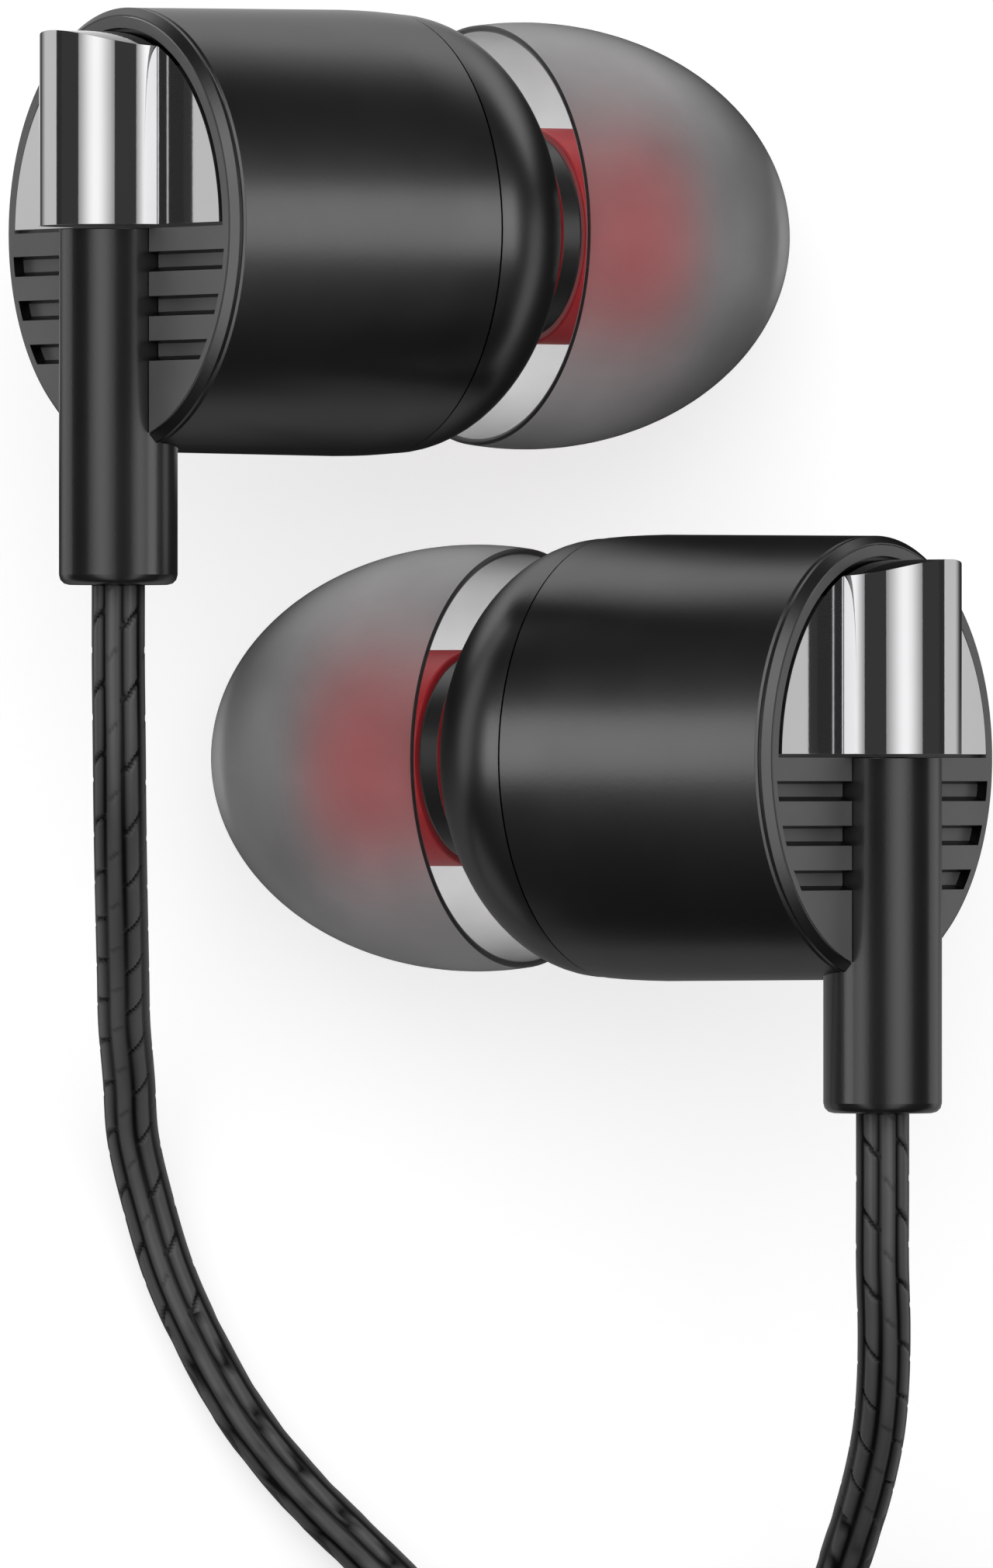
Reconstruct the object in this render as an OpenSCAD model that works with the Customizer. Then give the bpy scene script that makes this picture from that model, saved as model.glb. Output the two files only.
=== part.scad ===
// Wired in-ear earphones laid flat: two mirrored earbuds, their branch cords, a splitter, the main
// cord wound in a coil, and a 3.5 mm plug. Millimetres, +Z up, origin on the surface under the middle
// of the two earbuds. Each earbud is drawn about its own axis: z runs from the back face to the ear
// tip, y points away from the stem, and "depth" is a distance along z from just inside the back face.

/* [Layout] */
// How far each earbud's axis dips below level, in degrees
tilt = 32; // [20:1:40]
// Distance between the two earbuds across the pair
spacing_x = 21.06; // [20:0.02:26]
// Distance between the two earbuds along the stems
spacing_y = 14.67; // [14:0.01:20]

/* [Housing] */
// Radius of the housing at the bezel
body_r = 6.17; // [5.8:0.01:6.6]
// How much the housing swells from the bezel to the seam
body_swell = 0.07; // [0:0.01:0.15]
// Depth of the seam between the rear and front shells
seam_depth = 8.63; // [8.2:0.01:9.2]
// Wall of the rear shell
shell_wall = 0.75; // [0.5:0.05:0.9]
// Width of the fine groove between two outer pieces
joint_groove = 0.06; // [0.04:0.01:0.1]
// Length of the front dome, from the seam to where it would close
dome_len = 4.15; // [3.9:0.05:4.6]
// Radius of the dome's flat front
dome_front_r = 2.9; // [2.7:0.05:3.1]
// Wall of the front shell
front_wall = 0.8; // [0.6:0.05:1]

/* [Back] */
// Length of the bezel along the axis
bezel_len = 0.25; // [0.2:0.01:0.4]
// Width of the bezel's chamfer
bezel_chamfer = 0.2; // [0.1:0.01:0.22]
// Width of the bezel round the back plate
plate_margin = 0.26; // [0.24:0.01:0.4]
// How far the back plate stands out behind depth 0
plate_proud = 0.12; // [0.05:0.01:0.2]
// How far the bezel's face lies in front of the plate's
bezel_step = 0.02; // [0.01:0.01:0.05]
// Thickness of the back plate behind the trim's pocket
pocket_floor = 0.7; // [0.3:0.05:0.8]
// Height of one slot in the back plate
slot_h = 0.56; // [0.4:0.01:0.7]
// Distance from one slot to the next
slot_pitch = 1.234; // [1.1:0.01:1.4]
// Distance of the first slot's middle below the centre
slot_first = 0.93; // [0.8:0.01:1.1]
// Depth of the slots
slot_deep = 0.32; // [0.2:0.01:0.34]
// Number of slots on each side of the stem
slot_count = 3; // [2:1:3]
// Distance of the slots' ends from the plate's edge
slot_margin = 0.2; // [0.15:0.01:0.4]

/* [Trim] */
// Distance of the trim's edge from the plate's edge
trim_margin = 0.41; // [0.35:0.01:0.6]
// Thickness of the trim's half-disc
trim_t = 0.3; // [0.2:0.02:0.36]
// How far the trim's face stands out behind the plate's
trim_proud = 0.05; // [0.02:0.01:0.1]
// Chamfer round the half-disc's edge
trim_chamfer = 0.12; // [0.05:0.01:0.15]
// Radius of the trim's half-round barrel
barrel_r = 2.2; // [2:0.05:2.5]
// Gap between the trim and the plate round it
trim_gap = 0.1; // [0.05:0.01:0.15]

/* [Stem] */
// Radius of the stem
stem_r = 1.65; // [1.5:0.05:1.9]
// Length of the stem below the earbud's centre
stem_len = 9.87; // [9:0.01:12]
// How far behind depth 0 the stem's axis lies
stem_back = 0.1; // [0:0.01:0.2]
// Chamfer at the stem's end
stem_chamfer = 0.28; // [0.1:0.01:0.4]
// How deep the flat back of the stem sits in the plate
stem_seat = 0.3; // [0.2:0.05:0.5]
// Where the full round of the stem ends inside the housing, below the centre
stem_inner = 3.3; // [3:0.05:3.6]

/* [Nozzle] */
// Radius of the nozzle's neck
neck_r = 2; // [1.8:0.05:2.1]
// Radius of the rib at the nozzle's end
rib_r = 2.2; // [2.15:0.01:2.3]
// Length of the rib
rib_len = 0.6; // [0.4:0.05:0.8]
// Radius of the nozzle's bore
nozzle_bore_r = 1.45; // [1.2:0.05:1.55]
// Length of the nozzle past the dome
nozzle_len = 5.05; // [4.7:0.05:5.2]
// Thickness of the red ring
accent_t = 0.15; // [0.1:0.01:0.25]
// Length of the black collar
collar_len = 0.78; // [0.6:0.01:0.9]
// Radius of the black collar
collar_r = 2.88; // [2.7:0.01:3]
// Thickness of the nozzle's screen
mesh_t = 0.15; // [0.1:0.01:0.2]

/* [Ear tip] */
// Outer radius of the tip's inner sleeve
core_r = 3.04; // [2.9:0.01:3.2]
// Length of the tip's inner sleeve
core_len = 3.6; // [3.2:0.1:3.8]
// Greatest radius of the tip's dome
umbrella_r = 6; // [5.6:0.05:6.3]
// Length of the dome from its widest place to where it would close
umbrella_len = 8; // [7:0.1:9]
// Depth of the dome's widest place
umbrella_mid = 13.2; // [13:0.05:13.6]
// How far the dome's skirt runs back past its widest place
skirt_len = 1.5; // [1.2:0.05:2]
// Thickness of the dome's skin at its skirt
umbrella_t = 0.3; // [0.25:0.05:0.6]
// Thickness of the dome's skin at its front
umbrella_front_t = 0.7; // [0.5:0.05:0.9]
// Radius of the tip's mouth
mouth_r = 1.9; // [1.6:0.05:2.1]
// Radius of the flat lip round the mouth
lip_r = 2.45; // [2.3:0.05:2.6]

/* [Driver] */
// Wall of the spigot that holds the driver
spigot_wall = 0.35; // [0.3:0.05:0.5]
// Depth of the driver's seat in the front shell
driver_seat = 9; // [8.9:0.05:9.3]
// Thickness of the driver's cover
cover_t = 0.25; // [0.2:0.05:0.3]
// Length of the driver's frame
frame_len = 2.15; // [2:0.05:2.4]
// Wall of the driver's frame
frame_wall = 0.4; // [0.3:0.05:0.4]
// Radius of the magnet cup
cup_r = 3.3; // [3.2:0.05:3.4]
// Wall and floor of the magnet cup
cup_wall = 0.45; // [0.4:0.05:0.5]
// Radius of the magnet
magnet_r = 2.2; // [2:0.05:2.25]
// Thickness of the magnet
magnet_t = 1.5; // [1.2:0.1:1.8]
// Radius of the pole plate
pole_r = 2.3; // [2.25:0.01:2.32]
// Thickness of the pole plate
pole_t = 0.4; // [0.3:0.05:0.5]
// Inner radius of the voice coil
voice_r = 2.42; // [2.4:0.01:2.45]
// Wall of the voice coil's winding
voice_t = 0.28; // [0.2:0.01:0.3]
// Height of the voice coil
voice_h = 1.1; // [0.9:0.05:1.3]
// Thickness of the diaphragm
film_t = 0.1; // [0.08:0.01:0.12]
// Travel of the diaphragm to each side
film_travel = 0.15; // [0.1:0.01:0.2]
// Width of the terminal board
board_w = 5; // [4:0.1:5.5]
// Height of the terminal board
board_h = 2.4; // [2:0.1:3]
// Thickness of the terminal board
board_t = 0.4; // [0.3:0.05:0.6]
// Radius of one inner wire
wire_r = 0.12; // [0.08:0.01:0.15]

/* [Cord] */
// Diameter of a branch cord
branch_d = 1.5; // [1.3:0.05:1.6]
// Diameter of the main cord
main_d = 2; // [1.8:0.05:2.1]
// Mean radius of the left branch's coil
left_coil_r = 7.7; // [7.5:0.05:7.9]
// Mean radius of the right branch's coil
right_coil_r = 8.2; // [7.9:0.05:8.4]
// Mean radius of the main cord's coil
main_coil_r = 10.9; // [10.5:0.05:11.2]
// Layers in each coil
coil_layers = 4; // [4]
// Clear gap between neighbouring turns
turn_gap = 0.44; // [0.42:0.01:0.5]
// Thickness of a tie band
tie_t = 0.4; // [0.3:0.05:0.5]
// Width of a tie band
tie_w = 3; // [2:0.1:4]
// Gap between a tie band and the turns
tie_gap = 0.1; // [0.05:0.01:0.3]

/* [Splitter and plug] */
// Radius of the splitter
splitter_r = 2.3; // [2.2:0.05:2.6]
// Length of the splitter
splitter_len = 10; // [8:0.5:11]
// Distance between the two branches where they enter the splitter
branch_pitch = 1.7; // [1.6:0.05:1.9]
// Radius of the plug's grip
grip_r = 2.75; // [2.5:0.05:3]
// Length of the plug's grip
grip_len = 15; // [12:0.5:18]
// Length of the plug's strain relief
relief_len = 6; // [5:0.5:8]
// Radius of the plug's pin
pin_r = 1.75; // [1.75]
// Length of the plug's sleeve contact
sleeve_len = 8; // [7:0.1:8.5]
// Length of the plug's ring contact
ring_len = 1.9; // [1.5:0.1:2.2]
// Length of one insulating ring
insulator_len = 0.6; // [0.4:0.1:0.8]
// Length of the plug's tip contact
tip_contact_len = 2.9; // [2.6:0.1:3.2]

/* [Hidden] */
SIDES = ["left", "right"];
BUD_PIECES = [
    "rear_bezel", "rear_plate", "trim", "stem", "rear_shell", "front_shell", "accent_ring",
    "nozzle_collar", "nozzle_mesh", "tip_core", "tip_umbrella", "driver_frame", "driver_cover",
    "magnet_cup", "magnet", "pole_plate", "voice_coil", "diaphragm", "terminal_board",
    "inner_wires", "cable_end", "lead", "coil", "tail",
];
SHARED_PIECES = [
    "splitter", "main_lead", "main_coil", "main_tail", "coil_ties", "plug_relief", "plug_grip",
    "plug_sleeve", "plug_ring", "plug_tip", "plug_insulators",
];

$fn = 64;
eps = 0.01;
// How far a cutter reaches past what it cuts
over = 1;

// Clearances
slip_fit = 0.05;
press_gap = 0.03;
driver_gap = 0.05;

// Depths along an earbud's axis
seam_step = 0.02;
seam_r = body_r - seam_step;
cavity_r = body_r - shell_wall;
plate_r = body_r - plate_margin;
bezel_back = bezel_step - plate_proud;
slot_end_r = plate_r - slot_margin;
trim_r = plate_r - trim_margin;
trim_depth = -plate_proud - trim_proud;
trim_front = trim_depth + trim_t;
plate_boss_r = cavity_r - press_gap;
plate_front = trim_front + pocket_floor;
stem_depth = -stem_back;
dome_straight = 0.12;
dome_mid = seam_depth + dome_straight;
dome_front = dome_mid + dome_len * sqrt(1 - pow(dome_front_r / seam_r, 2));
collar_front = dome_front + accent_t + collar_len;
nozzle_end = dome_front + nozzle_len;
core_end = collar_front + core_len;
bore_r = rib_r + slip_fit;
bore_step = nozzle_end + 0.2;
mesh_step = 0.27;
mesh_r = nozzle_bore_r + mesh_step;
mesh_fit = 0.02;
mesh_seat = nozzle_end - 0.25;
spigot_len = 0.65;
spigot_r = cavity_r - press_gap;
driver_r = spigot_r - spigot_wall - driver_gap;
driver_ledge = 0.35;
driver_step = 0.2;
driver_hole_r = driver_r - driver_ledge;
cover_back = driver_seat - cover_t;
frame_back = cover_back - frame_len;
cup_len = cup_wall + magnet_t + pole_t;
cup_rise = 0.8;
cup_front = frame_back + cup_rise;
cup_back = cup_front - cup_len;
magnet_back = cup_back + cup_wall;
film_rise = 0.55;
film_depth = cup_front + film_rise;
film_gap = 0.1;
film_r = driver_r - frame_wall - film_gap;
voice_back = film_depth - voice_h;
dome_height = 0.3;
pad_r = 0.45;
pad_t = 0.12;
pad_x = 1.6;
knot_r = 1;
knot_gap = 0.12;
knot_y = knot_r + knot_gap - cavity_r;
knot_depth = stem_r - stem_back + 0.05;
knot_len = 1.4;
cord_bore_r = branch_d / 2 + slip_fit;

// The earbuds' places: the ear tips' domes touch the surface
bud_lift = umbrella_mid * sin(tilt)
    + sqrt(pow(umbrella_len * sin(tilt), 2) + pow(umbrella_r * cos(tilt), 2));
front_r = body_r + body_swell;
left_y = (spacing_y + stem_len - front_r) / 2;
right_y = left_y - spacing_y;
left_place = [-spacing_x / 2, left_y, bud_lift];
right_place = [spacing_x / 2, right_y, bud_lift];
stem_offset = [stem_depth * cos(tilt), -stem_len, -stem_depth * sin(tilt)];
left_exit = left_place + stem_offset;
right_exit = right_place + [-stem_offset.x, stem_offset.y, stem_offset.z];

// Coils: centre, the angle where the cord comes in, and the turns up to where it leaves
coil_lift = tie_t + tie_gap;
left_centre = [-5.3, -39.5];
left_in = 48;
left_turns = 6 + 48 / 360;
right_centre = [16, -40.4];
right_in = 163;
right_turns = 6 + 17 / 360;
main_centre = [2.1, -76.4];
main_in = 60;
main_turns = 11 + 340 / 360;
rings_a_turn = 24;
coil_sides = 6;
cord_sides = 8;
branch_step = branch_d + turn_gap;
main_step = main_d + turn_gap;

// Straight ends of the cords
straight = 2.2;
seat_run = 1.4;

// The free stretches between their two ends
LEFT_LEAD = [
    [-10.6, -5.0, 13.2], [-10.6, -6.9, 12.2], [-10.6, -8.6, 10.7], [-10.6, -10.1, 8.9],
    [-10.6, -11.6, 6.9], [-10.6, -13.0, 5.0], [-10.5, -14.6, 3.2], [-10.4, -16.3, 1.9],
    [-10.0, -18.1, 1.1], [-9.4, -20.1, 0.8], [-8.5, -22.1, 0.75], [-7.3, -24.2, 0.75],
    [-5.7, -26.2, 0.75], [-3.9, -28.0, 0.8], [-2.3, -29.6, 1.0],
];
RIGHT_LEAD = [
    [10.62, -19.6, 13.2], [10.68, -21.3, 12.3], [10.68, -22.8, 11.0], [10.6, -24.2, 9.4],
    [10.4, -25.5, 7.7], [10.1, -26.8, 6.0], [9.7, -28.2, 4.4], [9.3, -29.7, 3.0],
    [8.8, -31.3, 2.0], [8.3, -32.9, 1.4],
];
LEFT_TAIL = [
    [3.9, -42.2, 6.9], [3.95, -43.4, 6.2], [4.0, -44.4, 5.1], [4.05, -45.2, 3.9],
    [4.1, -46.1, 2.8],
];
RIGHT_TAIL = [
    [6.25, -42.9, 6.8], [6.1, -43.9, 6.0], [6.0, -44.7, 4.9], [5.9, -45.4, 3.7],
    [5.8, -46.2, 2.7],
];
MAIN_LEAD = [[5.3, -60.5, 2.1], [6.2, -61.9, 1.8]];
MAIN_TAIL = [
    [8.7, -62.8, 8.8], [10.8, -63.2, 8.6], [12.9, -63.6, 8.1], [14.9, -64.1, 7.3],
    [16.8, -64.8, 6.4], [18.5, -65.8, 5.4], [19.9, -67.2, 4.4], [20.9, -68.8, 3.5],
    [21.4, -70.4, 3.0],
];

// The splitter and the plug: each lies along -Y, its back end here
splitter_place = [4.95, -48.2, splitter_r];
plug_place = [21.6, -73.2, grip_r];
relief_end = [0, relief_len];
grip_end = relief_end + [0, grip_len];
sleeve_end = grip_end.y + sleeve_len;
ring_start = sleeve_end + insulator_len;
ring_end = ring_start + ring_len;
tip_start = ring_end + insulator_len;
pin_end = tip_start + tip_contact_len;

// Points of a coil: it spirals in and out again at a steady rate, and climbs a layer in the half
// turn about each place where the spiral turns back
function unit(v) = v / norm(v);
function fold(x) = abs(x - 2 * round(x / 2));
function ramp(x) = min(max(x, 0), 1);
function layer_at(u, per) = let (steps = [for (k = [1:coil_layers - 1]) ramp((u - k * per) * 2 + 0.5)])
    steps * [for (s = steps) 1];
function tangent(angle, way) = way * [-sin(angle), cos(angle), 0];
function coil_out(mean_r, step, turns) = mean_r + step * turns / coil_layers / 2;
function coil_at(centre, mean_r, step, turns, start, way, d, u) = let (
        per = turns / coil_layers,
        r = coil_out(mean_r, step, turns) - step * per * fold(u / per),
        angle = start + way * 360 * u
    ) [
        centre.x + r * cos(angle),
        centre.y + r * sin(angle),
        coil_lift + d / 2 + step * layer_at(u, per)
    ];
function coil_points(centre, mean_r, step, turns, start, way, d) = let (
        count = round(turns * rings_a_turn),
        first = coil_at(centre, mean_r, step, turns, start, way, d, 0),
        last = coil_at(centre, mean_r, step, turns, start, way, d, turns)
    ) concat(
        [first - d * tangent(start, way)],
        [for (i = [0:count]) coil_at(centre, mean_r, step, turns, start, way, d, turns * i / count)],
        [last + d * tangent(start + way * 360 * turns, way)]
    );
function least_gap(points, d) = min([
    for (i = [0:len(points) - 1]) for (j = [i + rings_a_turn / 2:1:len(points) - 1])
        norm(points[i] - points[j])
]) - d;
function run(points, i = 1) = i >= len(points) ? 0 : norm(points[i] - points[i - 1]) + run(points, i + 1);

left_coil_points = coil_points(left_centre, left_coil_r, branch_step, left_turns, left_in, -1, branch_d);
right_coil_points = coil_points(right_centre, right_coil_r, branch_step, right_turns, right_in, 1, branch_d);
main_coil_points = coil_points(main_centre, main_coil_r, main_step, main_turns, main_in, -1, main_d);

function last(points) = points[len(points) - 1];
function start_run(points) = unit(points[1] - points[0]);
function end_run(points) = unit(last(points) - points[len(points) - 2]);
function lead_points(exit, middle, coil) = concat(
    [exit, exit - [0, straight, 0]],
    middle,
    [coil[0] - seat_run * start_run(coil), coil[0]]
);
function tail_points(coil, middle, seat) = concat(
    [last(coil), last(coil) + seat_run / 2 * end_run(coil)],
    middle,
    [seat + [0, seat_run / 2, 0], seat]
);

left_seat = splitter_place - [branch_pitch / 2, 0, 0];
right_seat = splitter_place + [branch_pitch / 2, 0, 0];
main_seat = splitter_place - [0, splitter_len, 0];
left_lead_points = lead_points(left_exit, LEFT_LEAD, left_coil_points);
right_lead_points = lead_points(right_exit, RIGHT_LEAD, right_coil_points);
left_tail_points = tail_points(left_coil_points, LEFT_TAIL, left_seat);
right_tail_points = tail_points(right_coil_points, RIGHT_TAIL, right_seat);
main_lead_points = concat(
    [main_seat, main_seat - [0, seat_run, 0]],
    MAIN_LEAD,
    [main_coil_points[0] - seat_run / 2 * start_run(main_coil_points), main_coil_points[0]]
);
main_tail_points = tail_points(main_coil_points, MAIN_TAIL, plug_place);
function branch_length(side) = side == "left"
    ? run(left_lead_points) + run(left_coil_points) + run(left_tail_points)
    : run(right_lead_points) + run(right_coil_points) + run(right_tail_points);
main_length = run(main_lead_points) + run(main_coil_points) + run(main_tail_points);

// One unbroken tube along points
function tube_ring(p, along, r, sides) = let (
        across = unit(cross(along, [0, 0, 1])),
        down = cross(along, across)
    ) [for (k = [0:sides - 1]) let (a = 360 * (k + 0.5) / sides) p + r * (cos(a) * across + sin(a) * down)];
function heading(points, i) =
    i == 0 ? unit(points[1] - points[0])
    : i == len(points) - 1 ? unit(points[i] - points[i - 1])
    : unit(unit(points[i + 1] - points[i]) + unit(points[i] - points[i - 1]));

module tube(points, d, sides) {
    count = len(points);
    rings = [for (i = [0:count - 1]) each tube_ring(points[i], heading(points, i), d / 2, sides)];
    walls = [
        for (i = [0:count - 2]) for (k = [0:sides - 1])
            let (a = i * sides + k, b = i * sides + (k + 1) % sides)
            each [[a, a + sides, b + sides], [a, b + sides, b]]
    ];
    last_ring = (count - 1) * sides;
    caps = [for (k = [1:sides - 2]) each [[0, k, k + 1], [last_ring, last_ring + k + 1, last_ring + k]]];
    polyhedron(rings, concat(walls, caps));
}

// A piece drawn about an earbud's own axis, put in its place
module bud(side) {
    place = side == "left" ? left_place : right_place;
    translate(place)
        mirror([side == "left" ? 0 : 1, 0, 0])
            rotate([0, 90 + tilt, 0])
                children();
}

// A round bar along the stem, from y0 down to y1
module stem_bar(r, y0, y1) {
    translate([0, y0, stem_depth])
        rotate([90, 0, 0])
            cylinder(r = r, h = y0 - y1);
}

// What the stem takes out of the pieces that it passes through
module stem_way() {
    stem_bar(stem_r + press_gap, -stem_inner, -stem_len);
    intersection() {
        stem_bar(stem_r + press_gap, eps, -stem_len);
        translate([-stem_r * 2, -stem_len, -stem_r * 2])
            cube([stem_r * 4, stem_len + over, stem_r * 2 + stem_seat]);
    }
}

module rear_bezel() {
    color("#232323")
        difference() {
            rotate_extrude()
                polygon([
                    [plate_r + press_gap, bezel_back],
                    [body_r - bezel_chamfer, bezel_back],
                    [body_r, bezel_back + bezel_chamfer],
                    [body_r, bezel_len - joint_groove],
                    [body_r - joint_groove, bezel_len],
                    [plate_r + press_gap, bezel_len],
                ]);
            stem_way();
        }
}

module slots() {
    intersection() {
        for (i = [0:slot_count - 1])
            translate([-plate_r, -slot_first - i * slot_pitch - slot_h / 2, -plate_proud - over])
                cube([plate_r * 2, slot_h, slot_deep + over]);
        translate([0, 0, -plate_proud - over])
            cylinder(r = slot_end_r, h = slot_deep + over);
    }
}

module rear_plate() {
    pocket_r = trim_r + trim_gap;
    color("#2b2b2b")
        difference() {
            rotate_extrude()
                polygon([
                    [0, -plate_proud],
                    [plate_r, -plate_proud],
                    [plate_r, bezel_len],
                    [plate_boss_r, bezel_len],
                    [plate_boss_r, plate_front],
                    [0, plate_front],
                ]);
            intersection() {
                translate([0, 0, trim_front - plate_r])
                    cylinder(r = pocket_r, h = plate_r);
                translate([-plate_r, 0, -plate_r])
                    cube(plate_r * 2);
            }
            stem_way();
            slots();
        }
}

module trim() {
    color("#d8d8da")
        intersection() {
            translate([-plate_r, trim_gap, -plate_r])
                cube(plate_r * 2);
            union() {
                rotate_extrude()
                    polygon([
                        [0, trim_depth],
                        [trim_r - trim_chamfer, trim_depth],
                        [trim_r, trim_depth + trim_chamfer],
                        [trim_r, trim_front],
                        [0, trim_front],
                    ]);
                intersection() {
                    stem_bar(barrel_r, plate_r, 0);
                    translate([0, 0, trim_front - plate_r])
                        cylinder(r = trim_r, h = plate_r);
                }
            }
        }
}

// The cable's way through the stem and round into the housing
module stem_bore(r, tail_y) {
    stem_bar(r, knot_y, tail_y);
    translate([0, knot_y, stem_depth])
        sphere(r = r);
    translate([0, knot_y, stem_depth])
        cylinder(r = r, h = stem_r * 2);
}

module stem() {
    color("#1f1f1f")
        difference() {
            union() {
                translate([0, -stem_inner, stem_depth])
                    rotate([90, 0, 0])
                        cylinder(r = stem_r, h = stem_len - stem_inner - stem_chamfer);
                translate([0, -stem_len + stem_chamfer, stem_depth])
                    rotate([90, 0, 0])
                        cylinder(r1 = stem_r, r2 = stem_r - stem_chamfer, h = stem_chamfer);
                intersection() {
                    stem_bar(stem_r, 0, -stem_inner - over);
                    translate([-stem_r * 2, -stem_len, -stem_r * 2])
                        cube([stem_r * 4, stem_len, stem_r * 2 + stem_seat]);
                }
            }
            stem_bore(cord_bore_r, -stem_len - over);
        }
}

module rear_shell() {
    color("#262626")
        difference() {
            rotate_extrude()
                polygon([
                    [body_r - joint_groove, bezel_len],
                    [body_r, bezel_len + joint_groove],
                    [front_r, seam_depth * 0.8],
                    [front_r - 0.01, seam_depth * 0.97],
                    [body_r, seam_depth - joint_groove],
                    [body_r - joint_groove, seam_depth],
                    [cavity_r, seam_depth],
                    [cavity_r, bezel_len],
                ]);
            stem_way();
        }
}

module front_shell() {
    inner_r = seam_r - front_wall;
    inner_len = dome_len - front_wall;
    inner_front = dome_mid + inner_len * sqrt(1 - pow(nozzle_bore_r / inner_r, 2));
    steps = 10;
    color("#282828")
        rotate_extrude()
            polygon(concat(
                [[spigot_r, seam_depth - spigot_len], [spigot_r, seam_depth]],
                [[seam_r - joint_groove, seam_depth], [seam_r, seam_depth + joint_groove]],
                [for (i = [0:steps]) let (a = i / steps * acos(dome_front_r / seam_r))
                    [seam_r * cos(a), dome_mid + dome_len * sin(a)]],
                [
                    [neck_r, dome_front],
                    [neck_r, nozzle_end - rib_len - 0.2],
                    [rib_r, nozzle_end - rib_len],
                    [rib_r, nozzle_end - 0.15],
                    [rib_r - 0.15, nozzle_end],
                    [mesh_r + mesh_fit, nozzle_end],
                    [mesh_r + mesh_fit, mesh_seat],
                    [nozzle_bore_r, mesh_seat],
                    [nozzle_bore_r, inner_front],
                ],
                [for (i = [1:steps - 1]) let (
                        full = acos(nozzle_bore_r / inner_r),
                        low = asin((driver_seat + driver_step - dome_mid) / inner_len),
                        a = full - (full - low) * i / steps
                    ) [min(inner_r * cos(a), driver_hole_r), dome_mid + inner_len * sin(a)]],
                [
                    [driver_hole_r, driver_seat],
                    [driver_r + driver_gap, driver_seat],
                    [driver_r + driver_gap, seam_depth - spigot_len],
                ]
            ));
}

module accent_ring() {
    color("#b02a2e")
        translate([0, 0, dome_front])
            difference() {
                cylinder(r = dome_front_r, h = accent_t);
                translate([0, 0, -over])
                    cylinder(r = neck_r + press_gap, h = accent_t + 2 * over);
            }
}

module nozzle_collar() {
    color("#141414")
        translate([0, 0, dome_front + accent_t])
            rotate_extrude()
                polygon([
                    [neck_r + press_gap, 0],
                    [collar_r, 0],
                    [collar_r, collar_len - 0.1],
                    [collar_r - 0.1, collar_len],
                    [neck_r + press_gap, collar_len],
                ]);
}

module nozzle_mesh() {
    pitch = 0.5;
    hole = 0.32;
    margin = 0.3;
    reach = floor(mesh_r / pitch);
    color("#9a9a9a")
        translate([0, 0, mesh_seat])
            difference() {
                cylinder(r = mesh_r, h = mesh_t);
                for (i = [-reach:reach])
                    for (j = [-reach:reach])
                        if (norm([i, j]) * pitch < mesh_r - margin)
                            translate([i * pitch - hole / 2, j * pitch - hole / 2, -over])
                                cube([hole, hole, mesh_t + 2 * over]);
            }
}

module tip_core() {
    color("#b4383c")
        rotate_extrude()
            polygon([
                [bore_r, collar_front],
                [core_r - 0.08, collar_front],
                [core_r, collar_front + 0.08],
                [core_r, core_end],
                [bore_r, core_end],
            ]);
}

function umbrella_at(depth, skin) = (umbrella_r - skin)
    * sqrt(max(0, 1 - pow((depth - umbrella_mid) / (umbrella_len - skin), 2)));

module tip_umbrella() {
    rim = umbrella_mid - skirt_len;
    lip_depth = umbrella_mid + umbrella_len * sqrt(1 - pow(lip_r / umbrella_r, 2));
    skin_r = umbrella_r - umbrella_t;
    skin_len = umbrella_len - umbrella_front_t;
    neck_top = acos(core_r / skin_r);
    rim_in = asin(-skirt_len / skin_len);
    rim_out = asin(-skirt_len / umbrella_len);
    lip_a = acos(lip_r / umbrella_r);
    steps = 14;
    color("#84848a", 0.8)
        rotate_extrude()
            polygon(concat(
                [[umbrella_at(rim, umbrella_t * 0.5), rim - umbrella_t * 0.3]],
                [for (i = [0:steps]) let (a = rim_out + (lip_a - rim_out) * i / steps)
                    [umbrella_r * cos(a), umbrella_mid + umbrella_len * sin(a)]],
                [
                    [mouth_r + 0.2, lip_depth + 0.12],
                    [mouth_r, lip_depth],
                    [mouth_r, bore_step],
                    [bore_r, bore_step],
                    [bore_r, core_end],
                    [core_r, core_end],
                ],
                [for (i = [0:steps]) let (a = neck_top + (rim_in - neck_top) * i / steps)
                    [skin_r * cos(a), umbrella_mid + skin_len * sin(a)]]
            ));
}

module driver_frame() {
    vents = 6;
    ledge = 0.35;
    ledge_r = driver_r - frame_wall - ledge;
    ledge_depth = film_depth - film_travel - 0.15;
    floor_t = 0.3;
    vent_web = 0.17;
    vent_r = (ledge_r - cup_r) / 2 - vent_web;
    vent_ring = (ledge_r + cup_r) / 2;
    color("#3a3a3c")
        difference() {
            rotate_extrude()
                polygon([
                    [cup_r + press_gap, frame_back],
                    [driver_r, frame_back],
                    [driver_r, cover_back],
                    [driver_r - frame_wall, cover_back],
                    [driver_r - frame_wall, ledge_depth],
                    [ledge_r, ledge_depth],
                    [ledge_r, frame_back + floor_t],
                    [cup_r + press_gap, frame_back + floor_t],
                ]);
            for (i = [0:vents - 1])
                rotate([0, 0, 360 * i / vents])
                    translate([vent_ring, 0, frame_back - over])
                        cylinder(r = vent_r, h = floor_t + over + eps);
        }
}

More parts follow.
